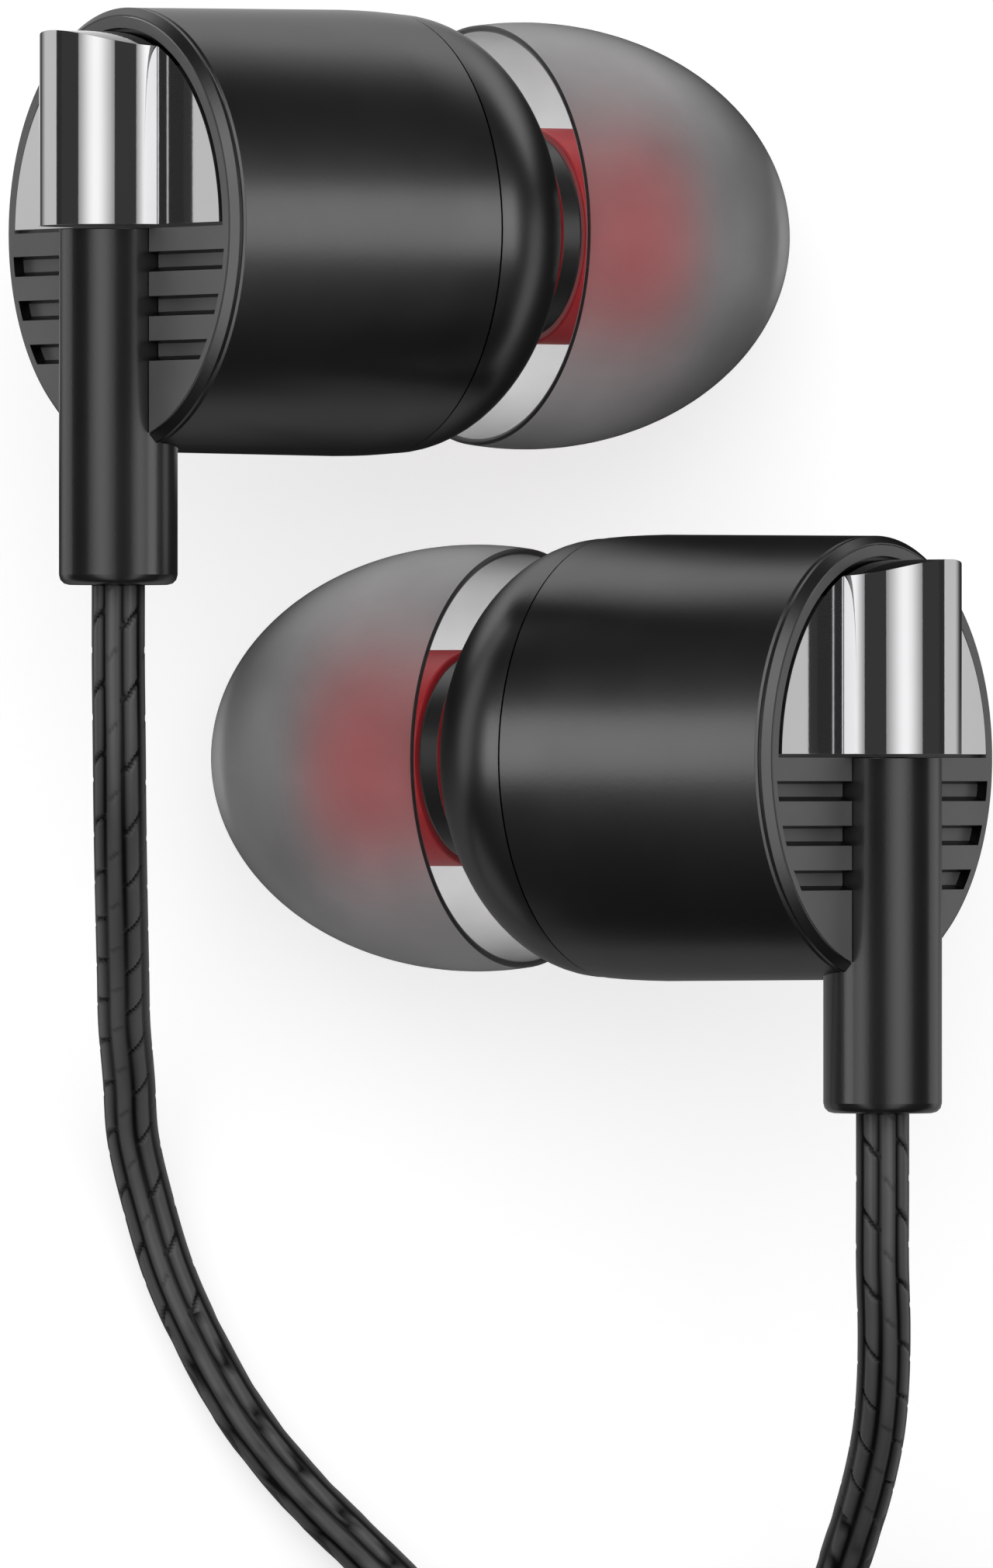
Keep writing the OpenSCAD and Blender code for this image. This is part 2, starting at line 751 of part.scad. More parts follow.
module driver_cover() {
    holes = 6;
    hole_r = 0.6;
    hole_ring = 2.6;
    color("#8c8c90")
        translate([0, 0, cover_back])
            difference() {
                cylinder(r = driver_r, h = cover_t);
                translate([0, 0, -over])
                    cylinder(r = hole_r, h = cover_t + 2 * over);
                for (i = [0:holes - 1])
                    rotate([0, 0, 360 * i / holes])
                        translate([hole_ring, 0, -1])
                            cylinder(r = hole_r, h = cover_t + 2 * over);
            }
}

module magnet_cup() {
    color("#b5b5b8")
        rotate_extrude()
            polygon([
                [0, cup_back],
                [cup_r - 0.2, cup_back],
                [cup_r, cup_back + 0.2],
                [cup_r, cup_front],
                [cup_r - cup_wall, cup_front],
                [cup_r - cup_wall, magnet_back],
                [0, magnet_back],
            ]);
}

module magnet() {
    color("#77777c")
        translate([0, 0, magnet_back])
            cylinder(r = magnet_r, h = magnet_t);
}

module pole_plate() {
    color("#c2c2c6")
        translate([0, 0, magnet_back + magnet_t])
            cylinder(r = pole_r, h = pole_t);
}

module voice_coil() {
    color("#b87333")
        translate([0, 0, voice_back])
            difference() {
                cylinder(r = voice_r + voice_t, h = voice_h);
                translate([0, 0, -over])
                    cylinder(r = voice_r, h = voice_h + 2 * over);
            }
}

// The diaphragm: a dome inside the voice coil's rim and a rolled surround outside it
module diaphragm() {
    rim_r = voice_r + voice_t;
    steps = 8;
    mid = [for (i = [0:steps]) let (f = i / steps) [rim_r * f, film_depth + dome_height * (1 - f * f)]];
    roll = [for (i = [1:steps]) let (f = i / steps)
        [rim_r + (film_r - rim_r) * f, film_depth + dome_height * 0.8 * sin(180 * f)]];
    lower = concat(mid, roll);
    color("#d9d4c0")
        rotate_extrude()
            polygon(concat(
                lower,
                [for (i = [len(lower) - 1:-1:0]) lower[i] + [0, film_t]]
            ));
}

module terminal_board() {
    color("#2f6b45")
        translate([-board_w / 2, -board_h / 2, cup_back - board_t])
            cube([board_w, board_h, board_t]);
    color("#c9c9cc")
        for (x = [-pad_x, pad_x])
            translate([x, 0, cup_back - board_t - pad_t])
                cylinder(r = pad_r, h = pad_t);
}

// Each wire rises from the cable's knot, crosses to its pad and turns in to meet it
module inner_wires() {
    knot_end = knot_depth + knot_len;
    pad_back = cup_back - board_t - pad_t;
    run_depth = (knot_end + pad_back) / 2;
    color("#a8402f")
        for (way = [-1, 1])
            tube([
                [way * knot_r / 2, knot_y, knot_end],
                [way * knot_r / 2, knot_y + 0.05, knot_end + 0.2],
                [way * (knot_r / 2 + 0.1), knot_y + 0.3, run_depth],
                [way * (pad_x - 0.1), -0.3, run_depth],
                [way * pad_x, -0.05, pad_back - 0.2],
                [way * pad_x, 0, pad_back],
            ], 2 * wire_r, cord_sides);
}

module cable_end() {
    color("#1a1a1a") {
        stem_bar(branch_d / 2, knot_y, -stem_len);
        translate([0, knot_y, stem_depth])
            sphere(r = branch_d / 2);
        translate([0, knot_y, stem_depth])
            cylinder(r = branch_d / 2, h = knot_depth - stem_depth + eps);
        translate([0, knot_y, knot_depth])
            cylinder(r = knot_r, h = knot_len);
    }
}

module lead(side) {
    points = side == "left" ? left_lead_points : right_lead_points;
    color("#1c1c1c")
        tube(points, branch_d, cord_sides);
}

module coil(side) {
    points = side == "left" ? left_coil_points : right_coil_points;
    echo(str(side, " coil: least gap ", least_gap(points, branch_d), ", branch length ", branch_length(side)));
    color("#1c1c1c")
        tube(points, branch_d, coil_sides);
}

module tail(side) {
    points = side == "left" ? left_tail_points : right_tail_points;
    color("#1c1c1c")
        tube(points, branch_d, cord_sides);
}

module main_lead() {
    color("#1c1c1c")
        tube(main_lead_points, main_d, cord_sides);
}

module main_coil() {
    echo(str("main coil: least gap ", least_gap(main_coil_points, main_d), ", main length ", main_length));
    color("#1c1c1c")
        tube(main_coil_points, main_d, coil_sides);
}

module main_tail() {
    color("#1c1c1c")
        tube(main_tail_points, main_d, cord_sides);
}

module rounded_rect(w, h, r) {
    translate([r, 0])
        square([w - 2 * r, h]);
    translate([0, r])
        square([w, h - 2 * r]);
    for (x = [r, w - r])
        for (y = [r, h - r])
            translate([x, y])
                circle(r = r);
}

// A band round a coil's bundle of turns, at an angle from the coil's centre
module tie(centre, mean_r, step, turns, d, angle) {
    half = step * turns / coil_layers / 2 + d / 2 + tie_gap;
    bundle_h = step * (coil_layers - 1) + d + 2 * tie_gap;
    corner = d / 2;
    translate([centre.x, centre.y, 0])
        rotate([0, 0, angle])
            translate([mean_r, tie_w / 2, tie_t])
                rotate([90, 0, 0])
                    linear_extrude(tie_w)
                        translate([-half, 0])
                            difference() {
                                translate([-tie_t, -tie_t])
                                    rounded_rect(2 * (half + tie_t), bundle_h + 2 * tie_t, corner + tie_t);
                                rounded_rect(2 * half, bundle_h, corner);
                            }
}

module coil_ties() {
    color("#111111") {
        for (angle = [130, 250])
            tie(left_centre, left_coil_r, branch_step, left_turns, branch_d, angle);
        for (angle = [50, 290])
            tie(right_centre, right_coil_r, branch_step, right_turns, branch_d, angle);
        for (angle = [130, 235, 340])
            tie(main_centre, main_coil_r, main_step, main_turns, main_d, angle);
    }
}

// Turned pieces of the splitter and plug: the profile's y runs along -Y from place
module turned(place) {
    translate(place)
        rotate([90, 0, 0])
            rotate_extrude()
                children();
}

module splitter() {
    mouth = splitter_r - 0.35;
    neck = main_d / 2 + 0.4;
    color("#1e1e1e")
        turned(splitter_place)
            polygon([
                [0, 0],
                [mouth, 0],
                [splitter_r, 0.5],
                [splitter_r, splitter_len * 0.45],
                [splitter_r - 0.25, splitter_len * 0.7],
                [neck + 0.15, splitter_len - 0.6],
                [neck, splitter_len],
                [0, splitter_len],
            ]);
}

module plug_relief() {
    thin = main_d / 2 + 0.35;
    thick = grip_r - 0.6;
    ribs = 4;
    step = relief_len / (ribs + 0.5);
    color("#1e1e1e")
        turned(plug_place)
            difference() {
                polygon([[0, 0], [thin, 0], [thick, relief_len], [0, relief_len]]);
                for (i = [1:ribs])
                    translate([main_d / 2 + 0.15, i * step - step / 4])
                        square([grip_r, step / 2]);
            }
}

module plug_grip() {
    waist = grip_r - 0.3;
    color("#202020")
        turned(plug_place)
            polygon([
                [0, relief_end.y],
                [grip_r - 0.4, relief_end.y],
                [grip_r, relief_end.y + 0.5],
                [grip_r, relief_end.y + grip_len * 0.2],
                [waist, relief_end.y + grip_len * 0.35],
                [waist, relief_end.y + grip_len * 0.7],
                [grip_r, relief_end.y + grip_len * 0.85],
                [grip_r, grip_end.y - 0.5],
                [grip_r - 0.5, grip_end.y],
                [0, grip_end.y],
            ]);
}

module plug_sleeve() {
    color("#d4af5a")
        turned(plug_place)
            polygon([
                [0, grip_end.y],
                [pin_r, grip_end.y],
                [pin_r, sleeve_end],
                [0, sleeve_end],
            ]);
}

module plug_ring() {
    color("#d4af5a")
        turned(plug_place)
            polygon([[0, ring_start], [pin_r, ring_start], [pin_r, ring_end], [0, ring_end]]);
}

module plug_tip() {
    color("#d4af5a")
        turned(plug_place)
            polygon([
                [0, tip_start],
                [pin_r - 0.35, tip_start],
                [pin_r - 0.45, tip_start + 0.6],
                [pin_r - 0.05, tip_start + 1.3],
                [pin_r - 0.6, pin_end - 0.5],
                [pin_r - 1.15, pin_end],
                [0, pin_end],
            ]);
}

module plug_insulators() {
    color("#161616")
        turned(plug_place)
            for (start = [sleeve_end, ring_end])
                translate([0, start])
                    square([pin_r, insulator_len]);
}

for (side = SIDES) {
    bud(side) rear_bezel();
    bud(side) rear_plate();
    bud(side) trim();
    bud(side) stem();
    bud(side) rear_shell();
    bud(side) front_shell();
    bud(side) accent_ring();
    bud(side) nozzle_collar();
    bud(side) nozzle_mesh();
    bud(side) tip_core();
    bud(side) tip_umbrella();
    bud(side) driver_frame();
    bud(side) driver_cover();
    bud(side) magnet_cup();
    bud(side) magnet();
    bud(side) pole_plate();
    bud(side) voice_coil();
    bud(side) diaphragm();
    bud(side) terminal_board();
    bud(side) inner_wires();
    bud(side) cable_end();
    lead(side);
    coil(side);
    tail(side);
}
splitter();
main_lead();
main_coil();
main_tail();
coil_ties();
plug_relief();
plug_grip();
plug_sleeve();
plug_ring();
plug_tip();
plug_insulators();
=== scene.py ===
"""Wired in-ear earphones laid flat: mirrored earbuds, their cords, a splitter and a plug.

Each earbud is modelled about its own axis in millimetres, Z running from the back face to the ear
tip and Y away from the stem, and is then put in its place in metres. The cords follow their routes
in millimetres and are made in metres too.
"""

import logging
import math
from collections.abc import Callable
from dataclasses import dataclass
from enum import Enum

import bmesh
import bpy
from mathutils import Matrix, Vector


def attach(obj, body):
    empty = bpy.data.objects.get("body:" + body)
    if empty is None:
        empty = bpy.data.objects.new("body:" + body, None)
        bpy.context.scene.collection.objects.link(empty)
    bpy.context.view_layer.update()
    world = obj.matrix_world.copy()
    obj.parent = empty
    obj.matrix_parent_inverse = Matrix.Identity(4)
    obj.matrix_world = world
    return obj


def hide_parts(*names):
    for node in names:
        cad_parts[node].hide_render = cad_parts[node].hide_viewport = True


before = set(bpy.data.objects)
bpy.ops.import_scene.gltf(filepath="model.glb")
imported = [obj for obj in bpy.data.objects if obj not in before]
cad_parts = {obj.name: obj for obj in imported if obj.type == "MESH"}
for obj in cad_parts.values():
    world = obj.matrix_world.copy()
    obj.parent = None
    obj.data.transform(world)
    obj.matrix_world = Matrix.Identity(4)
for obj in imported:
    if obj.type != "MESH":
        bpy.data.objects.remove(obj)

LOG = logging.getLogger("earphones")
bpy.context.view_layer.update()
MM = 0.001
ROOT_BODY = "earphones"
TURN_SIDES = 96
FINE_SIDES = 192
SMOOTH_ANGLE = math.radians(32)
FLAT_ANGLE = math.radians(0.1)
ROUNDING_ANGLE = math.radians(5)
AREA_STEP = 3.0
MERGE = 0.002
# How far the solids that cut an earbud's pieces reach past them, in millimetres.
FAR = 9.0
# Clearance between an earbud's piece and the one that holds it, in millimetres.
FIT = 0.03

Profile = list[tuple[float, float]]
Point = tuple[float, float, float]
Colour = tuple[float, float, float]
Source = bpy.types.Node | tuple[bpy.types.Node, str | int]


class Side(Enum):
    """Which earbud of the pair."""

    LEFT = "left"
    RIGHT = "right"

    @property
    def sign(self) -> int:
        """-1 for the left one, which lies on the -X side, and 1 for the right one."""
        return -1 if self is Side.LEFT else 1


class Cut(Enum):
    """How one solid shapes another."""

    TAKE_AWAY = "DIFFERENCE"
    KEEP_COMMON = "INTERSECT"
    JOIN = "UNION"


# ---------------------------------------------------------------- modelling helpers


def deselect() -> None:
    """Leaves edit mode and clears the selection."""
    if bpy.context.mode != "OBJECT":
        bpy.ops.object.mode_set(mode="OBJECT")
    bpy.ops.object.select_all(action="DESELECT")


def take(piece: bpy.types.Object) -> None:
    """Makes one piece the only selected and active object.

    Args:
        piece: The piece.
    """
    deselect()
    piece.select_set(True)
    bpy.context.view_layer.objects.active = piece


def edit(piece: bpy.types.Object) -> None:
    """Opens a piece in edit mode with all of it selected.

    Args:
        piece: The piece.
    """
    take(piece)
    bpy.ops.object.mode_set(mode="EDIT")
    bpy.ops.mesh.select_all(action="SELECT")


def pick_edges(piece: bpy.types.Object, wanted: Callable[[Vector, Vector], bool]) -> None:
    """Opens a piece in edit mode with only some of its edges selected.

    Args:
        piece: The piece.
        wanted: Tells from an edge's two ends whether it is selected.
    """
    edit(piece)
    bpy.ops.mesh.select_mode(type="EDGE")
    bpy.ops.mesh.select_all(action="DESELECT")
    bpy.ops.object.mode_set(mode="OBJECT")
    for edge in piece.data.edges:
        edge.select = wanted(*(piece.data.vertices[i].co for i in edge.vertices))
    bpy.ops.object.mode_set(mode="EDIT")


def settle(piece: bpy.types.Object) -> None:
    """Puts an object's own place, turn and scale into its mesh."""
    take(piece)
    bpy.ops.object.transform_apply(location=True, rotation=True, scale=True)


def close_over() -> None:
    """Closes the selected ring with a fan of faces to its middle."""
    bpy.ops.mesh.extrude_region_move()
    bpy.ops.mesh.merge(type="COLLAPSE")


def turned(
    name: str, profile: Profile, hollow: bool = True, sides: int = TURN_SIDES
) -> bpy.types.Object:
    """Turns a profile about Z, drawing each ring out of the last one.

    Args:
        name: The piece's name.
        profile: Points of radius and depth, in order along the outline.
        hollow: True where the outline closes on itself round a bore, and False where its two ends
            are closed over the axis.
        sides: Faces round the axis.

    Returns:
        The closed piece.
    """
    deselect()
    radius, depth = profile[0]
    bpy.ops.mesh.primitive_circle_add(vertices=sides, radius=radius)
    piece = bpy.context.object
    piece.name = piece.data.name = name
    edit(piece)
    bpy.ops.transform.translate(value=(0, 0, depth))
    if not hollow:
        close_over()
        bpy.ops.mesh.select_all(action="DESELECT")
        bpy.ops.mesh.select_non_manifold()
    for next_radius, next_depth in profile[1:]:
        move = {"value": (0, 0, next_depth - depth)}
        bpy.ops.mesh.extrude_region_move(TRANSFORM_OT_translate=move)
        grow = next_radius / radius
        bpy.ops.transform.resize(value=(grow, grow, 1), center_override=(0, 0, next_depth))
        radius, depth = next_radius, next_depth
    if hollow:
        bpy.ops.mesh.select_all(action="DESELECT")
        bpy.ops.mesh.select_non_manifold()
        bpy.ops.mesh.bridge_edge_loops()
    else:
        close_over()
    bpy.ops.mesh.select_all(action="SELECT")
    bpy.ops.mesh.normals_make_consistent(inside=False)
    deselect()
    return piece


def disc(name: str, radius: float, low: float, high: float) -> bpy.types.Object:
    """A finely sided disc between two depths."""
    return turned(name, [(radius, low), (radius, high)], hollow=False, sides=FINE_SIDES)


def ring(
    name: str,
    radii: tuple[float, float],
    depths: tuple[float, float],
    rounding: float,
    segments: int = 2,
) -> bpy.types.Object:
    """A plain ring with rounded edges.

    Args:
        name: The piece's name.
        radii: Its inner and outer radius.
        depths: Where it starts and ends.
        rounding: Width of the rounding.
        segments: Faces across the rounding.

    Returns:
        The ring.
    """
    (inner, outer), (low, high) = radii, depths
    piece = turned(name, [(inner, low), (outer, low), (outer, high), (inner, high)])
    soften(piece, rounding, segments)
    return piece


def bar(
    name: str, radius: float, start: float, end: float, depth: float, sides: int = 64
) -> bpy.types.Object:
    """A round bar along Y at a depth, its ends closed.

    Args:
        name: The piece's name.
        radius: The bar's radius.
        start: Where it starts along Y.
        end: Where it ends along Y.
        depth: The depth of its axis.
        sides: Faces round it.

    Returns:
        The bar.
    """
    deselect()
    bpy.ops.mesh.primitive_cylinder_add(
        vertices=sides,
        radius=radius,
        depth=abs(end - start),
        location=(0, (start + end) / 2, depth),
        rotation=(math.pi / 2, 0, 0),
    )
    piece = bpy.context.object
    piece.name = piece.data.name = name
    settle(piece)
    return piece


def block(name: str, low: Point, high: Point) -> bpy.types.Object:
    """A box between two corners, used to cut other pieces.

    Args:
        name: The box's name.
        low: Its lowest corner.
        high: Its highest corner.

    Returns:
        The box.
    """
    deselect()
    middle = [(a + b) / 2 for a, b in zip(low, high)]
    bpy.ops.mesh.primitive_cube_add(size=1, location=middle)
    piece = bpy.context.object
    piece.name = piece.data.name = name
    piece.scale = [b - a for a, b in zip(low, high)]
    settle(piece)
    return piece


def shape(piece: bpy.types.Object, tool: bpy.types.Object, cut: Cut = Cut.TAKE_AWAY) -> None:
    """Shapes a piece with another solid, which is used up.

    Args:
        piece: The piece that stays.
        tool: The solid that shapes it.
        cut: What becomes of their common volume.
    """
    take(piece)
    modifier = piece.modifiers.new("shape", "BOOLEAN")
    modifier.operation = cut.value
    modifier.solver = "EXACT"
    modifier.object = tool
    bpy.ops.object.modifier_apply(modifier=modifier.name)
    mesh = tool.data
    bpy.data.objects.remove(tool)
    bpy.data.meshes.remove(mesh)


def soften(piece: bpy.types.Object, width: float, segments: int = 2, angle: float = 40) -> None:
    """Rounds the sharp edges of a piece and shades it smooth.

    Args:
        piece: The piece.
        width: Width of the rounding, in the piece's units; 0 leaves the edges sharp.
        segments: Faces across each rounding.
        angle: Edges that turn by more degrees than this are rounded.
    """
    take(piece)
    if width:
        modifier = piece.modifiers.new("soften", "BEVEL")
        modifier.width = width
        modifier.segments = segments
        modifier.limit_method = "ANGLE"
        modifier.angle_limit = math.radians(angle)
        modifier.use_clamp_overlap = True
        bpy.ops.object.modifier_apply(modifier=modifier.name)
    bpy.ops.object.shade_smooth_by_angle(angle=SMOOTH_ANGLE)
    hold_large_faces(piece.data)


def hold_large_faces(mesh: bpy.types.Mesh) -> None:
    """Keeps the roundings from bending the light on the large faces beside them.

    Args:
        mesh: The mesh of the piece.
    """
    marked = bmesh.new()
    marked.from_mesh(mesh)
    for edge in marked.edges:
        if len(edge.link_faces) == 2 and edge.smooth:
            small, large = sorted(face.calc_area() for face in edge.link_faces)
            if large > AREA_STEP * small and edge.calc_face_angle(0.0) > ROUNDING_ANGLE:
                edge.smooth = False
    marked.to_mesh(mesh)
    marked.free()


def merge_flats(piece: bpy.types.Object) -> None:
    """Makes one face of each flat that booleans have left in many.

    Args:
        piece: The piece.
    """
    edit(piece)
    bpy.ops.mesh.remove_doubles(threshold=MERGE)
    bpy.ops.mesh.dissolve_degenerate(threshold=MERGE)
    bpy.ops.mesh.dissolve_limited(angle_limit=FLAT_ANGLE)
    deselect()


def mark_grooves(piece: bpy.types.Object, inside: Callable[[Vector, Vector], float]) -> None:
    """Marks the faces that lie in a groove, for the finish to darken them with painted shade.

    Args:
        piece: The piece.
        inside: Tells from a face's centre and normal, in millimetres, how much painted shade it
            takes, from 0 (none) to 1.
    """
    # The groove attribute carries painted shade, which the finish reads.
    marks = piece.data.attributes.new("groove", "FLOAT", "FACE")
    for face in piece.data.polygons:
        marks.data[face.index].value = float(inside(face.center, face.normal))


def cut_at(piece: bpy.types.Object, place: Point, normal: Point) -> None:
    """Cuts a piece at a plane, takes away the side that the normal points to and closes the cut.

    Args:
        piece: The piece.
        place: A point of the plane.
        normal: The plane's normal.
    """
    edit(piece)
    bpy.ops.mesh.bisect(plane_co=place, plane_no=normal, use_fill=True, clear_outer=True)
    deselect()


def arc(
    centre: tuple[float, float], radii: tuple[float, float], start: float, end: float, steps: int
) -> Profile:
    """Points along an elliptical arc of a profile.

    Args:
        centre: Radius and depth of the ellipse's centre.
        radii: Its half axes across and along the turning axis.
        start: First angle in degrees, 0 pointing outwards and 90 towards the ear tip.
        end: Last angle in degrees.
        steps: Number of spans.

    Returns:
        The points, both ends included.
    """
    points = []
    for i in range(steps + 1):
        angle = math.radians(start + (end - start) * i / steps)
        points.append(
            (centre[0] + radii[0] * math.cos(angle), centre[1] + radii[1] * math.sin(angle))
        )
    return points


# ---------------------------------------------------------------- finishes


class Nodes:
    """Adds and joins the nodes of one node tree."""

    def __init__(self, tree: bpy.types.NodeTree) -> None:
        """Starts on a tree."""
        self.tree = tree

    def add(
        self, kind: str, group: bpy.types.NodeTree | None = None, **values: object
    ) -> bpy.types.Node:
        """Adds a node.

        Args:
            kind: The node's type.
            group: The node group that it holds, if it is one.
            values: Its settings, and its sockets' values by name with _ for a space.

        Returns:
            The node.
        """
        node = self.tree.nodes.new(kind)
        if group:
            node.node_tree = group
        for key, value in values.items():
            socket = node.inputs.get(key.replace("_", " "))
            if socket is None:
                setattr(node, key, value)
            else:
                socket.default_value = value
        return node

    def join(self, source: Source, target: bpy.types.Node, socket: str | int) -> None:
        """Links an output to a socket of another node."""
        node, output = source if isinstance(source, tuple) else (source, 0)
        self.tree.links.new(node.outputs[output], target.inputs[socket])

    def calc(self, kind: str, *terms: Source | float) -> bpy.types.Node:
        """Adds a Math node of a kind on outputs and numbers.

        Args:
            kind: The operation.
            terms: What goes into it.

        Returns:
            The node.
        """
        node = self.add("ShaderNodeMath", operation=kind)
        for i, term in enumerate(terms):
            if isinstance(term, (int, float)):
                node.inputs[i].default_value = term
            else:
                self.join(term, node, i)
        return node

    def axes(self, space: str) -> bpy.types.Node:
        """Adds what gives the place in a space as X, Y and Z.

        Args:
            space: The space.

        Returns:
            The node.
        """
        axes = self.add("ShaderNodeSeparateXYZ")
        self.join((self.add("ShaderNodeTexCoord"), space), axes, 0)
        return axes

    def fade(
        self, source: Source, start: float, full: float, kind: str = "SMOOTHSTEP"
    ) -> bpy.types.Node:
        """Adds what rises from 0 to 1 while an output runs from start to full.

        Args:
            source: The output.
            start: Its value where the rise starts.
            full: Its value where the rise ends.
            kind: How it rises.

        Returns:
            The node.
        """
        fade = self.add(
            "ShaderNodeMapRange", clamp=True, interpolation_type=kind, From_Min=start, From_Max=full
        )
        self.join(source, fade, "Value")
        return fade

    def tint(self, shader: bpy.types.Node, factor: Source, colour: Colour) -> None:
        """Blends the shader's colour into another one with a factor.

        Args:
            shader: The shader.
            factor: How far its colour turns.
            colour: The colour that it turns to.
        """
        blend = self.add("ShaderNodeMix", data_type="RGBA")
        blend.inputs["B"].default_value = (*colour, 1)
        base = shader.inputs["Base Color"]
        self.tree.links.new(base.links[0].from_socket, blend.inputs["A"])
        self.join(factor, blend, "Factor")
        self.join((blend, "Result"), shader, "Base Color")

    def second_reflection(self) -> bpy.types.Node:
        """Adds what is 1 where light is seen in a reflection of a reflection."""
        rays = self.add("ShaderNodeLightPath")
        return self.calc("GREATER_THAN", (rays, "Glossy Depth"), 1.5)


def surface_grain() -> bpy.types.NodeTree:
    """The grain of a moulded or blasted surface: a fine height and a broad uneven shade.

    Returns:
        The shared group, made on its first use.
    """
    name = "surface_grain"
    if name in bpy.data.node_groups:
        return bpy.data.node_groups[name]
    group = bpy.data.node_groups.new(name, "ShaderNodeTree")
    nodes = Nodes(group)
    source, sink = nodes.add("NodeGroupInput"), nodes.add("NodeGroupOutput")
    place = nodes.add("ShaderNodeTexCoord")
    for scale, usual, detail, output in (("Fine", 9000, 2, "Height"), ("Broad", 300, 4, "Shade")):
        made, _ = (
            group.interface.new_socket(socket, in_out=way, socket_type="NodeSocketFloat")
            for socket, way in ((scale, "INPUT"), (output, "OUTPUT"))
        )
        made.default_value = usual
        noise = nodes.add("ShaderNodeTexNoise", Detail=detail, Roughness=0.55)
        nodes.join((place, "Object"), noise, "Vector")
        nodes.join((source, scale), noise, "Scale")
        nodes.join((noise, "Fac"), sink, output)
    return group


def new_material(name: str, **values: object) -> tuple[bpy.types.Material, Nodes, bpy.types.Node]:
    """Makes a material and sets sockets of its shader.

    Args:
        name: The material's name.
        values: The sockets' values by name, with _ for a space.

    Returns:
        The material, its nodes and its shader.
    """
    material = bpy.data.materials.new(name)
    material.use_nodes = True
    shader = material.node_tree.nodes["Principled BSDF"]
    for socket, value in values.items():
        shader.inputs[socket.replace("_", " ")].default_value = value
    return material, Nodes(material.node_tree), shader


@dataclass(frozen=True)
class Finish:
    """A plain solid finish: moulded, anodised, plated or printed.

    Attributes:
        name: The material's name.
        colour: Its colour.
        roughness: Its roughness.
        metallic: 1 for bare or anodised metal.
        coat: Weight of a clear gloss over it.
        ior: Index of refraction.
        rim: How much of the glancing reflection it keeps.
        grain: Height of the fine grain in millimetres.
        fine: Grains a metre.
        uneven: How far the colour and roughness vary over the surface.
    """

    name: str
    colour: Colour
    roughness: float
    metallic: float = 0.0
    coat: float = 0.0
    ior: float = 1.5
    rim: float = 1.0
    grain: float = 0.002
    fine: float = 9000.0
    uneven: float = 0.12

    def build(self) -> bpy.types.Material:
        """Makes the material.

        Returns:
            The material, with its grain and uneven shade from the shared group.
        """
        material, nodes, shader = new_material(
            self.name,
            Metallic=self.metallic,
            IOR=self.ior,
            Coat_Weight=self.coat,
            Specular_Tint=(self.rim, self.rim, self.rim, 1),
        )
        grain = nodes.add("ShaderNodeGroup", group=surface_grain(), Fine=self.fine)
        shade = nodes.add("ShaderNodeValToRGB")
        for stop, way in zip(shade.color_ramp.elements, (-1, 1)):
            stop.color = (*(min(1, c * (1 + way * self.uneven)) for c in self.colour), 1)
            stop.position = 0.5 + 0.2 * way
        nodes.join((grain, "Shade"), shade, "Fac")
        nodes.join(shade, shader, "Base Color")
        spread = nodes.calc(
            "MULTIPLY_ADD",
            (grain, "Shade"),
            self.uneven * 0.4,
            self.roughness - self.uneven * 0.2,
        )
        nodes.join(spread, shader, "Roughness")
        bump = nodes.add("ShaderNodeBump", Strength=1.0, Distance=self.grain * MM)
        nodes.join((grain, "Height"), bump, "Height")
        nodes.join((bump, "Normal"), shader, "Normal")
        self.add_to(nodes, shader)
        return material

    def add_to(self, nodes: Nodes, shader: bpy.types.Node) -> None:
        """Adds what a special finish has beyond the plain one."""


@dataclass(frozen=True)
class GroovedFinish(Finish):
    """A finish that is darker down in the grooves.

    Attributes:
        groove: Colour of the painted shade at the bottom of a groove.
    """

    groove: Colour = (0.002, 0.002, 0.002)

    def add_to(self, nodes: Nodes, shader: bpy.types.Node) -> None:
        """Paints shade into the grooves by the mesh's own groove attribute."""
        depth = nodes.add("ShaderNodeAttribute", attribute_name="groove")
        nodes.tint(shader, (depth, "Fac"), self.groove)


@dataclass(frozen=True)
class SiliconeFinish(GroovedFinish):
    """Translucent silicone, with painted shade towards its edges and darker with its thickness.

    Attributes:
        clear: How much light passes in place of scattering at the surface.
        edge: Colour of the painted shade where it is seen edge on.
        edge_power: How closely that painted shade keeps to the edge.
        dye: Colour that the body of the silicone lets through.
        density: Strength of the dye, per metre.
    """

    clear: float = 0.8
    edge: Colour = (0.25, 0.25, 0.26)
    edge_power: float = 2.5
    dye: Colour = (0.4, 0.4, 0.42)
    density: float = 1200.0

    def add_to(self, nodes: Nodes, shader: bpy.types.Node) -> None:
        """Lets light through, dyes it and paints shade on the edges.

        Args:
            nodes: The material's nodes.
            shader: Its shader.
        """
        super().add_to(nodes, shader)
        shader.inputs["Transmission Weight"].default_value = self.clear
        # Painted shade: darker where the skin is seen edge on, by the angle to the camera.
        facing = nodes.add("ShaderNodeLayerWeight", Blend=0.5)
        painted_edge_shade = nodes.calc("POWER", (facing, "Facing"), self.edge_power)
        nodes.tint(shader, painted_edge_shade, self.edge)
        dye = nodes.add(
            "ShaderNodeVolumeAbsorption", Color=(*self.dye, 1), Density=self.density
        )
        nodes.join((dye, "Volume"), nodes.tree.nodes["Material Output"], "Volume")


@dataclass(frozen=True)
class GlowingFinish(Finish):
    """Silicone that lights up where it is seen through the ear tip's skin.

    Attributes:
        through: Strength of the painted glow that it gives off through the skin.
    """

    through: float = 0.4

    def add_to(self, nodes: Nodes, shader: bpy.types.Node) -> None:
        """Paints a glow in its own colour, given only to what comes through the skin.

        Args:
            nodes: The material's nodes.
            shader: Its shader.
        """
        shader.inputs["Emission Color"].default_value = (*self.colour, 1)
        rays = nodes.add("ShaderNodeLightPath")
        glow = nodes.calc("MULTIPLY", (rays, "Is Transmission Ray"), self.through)
        nodes.join(glow, shader, "Emission Strength")


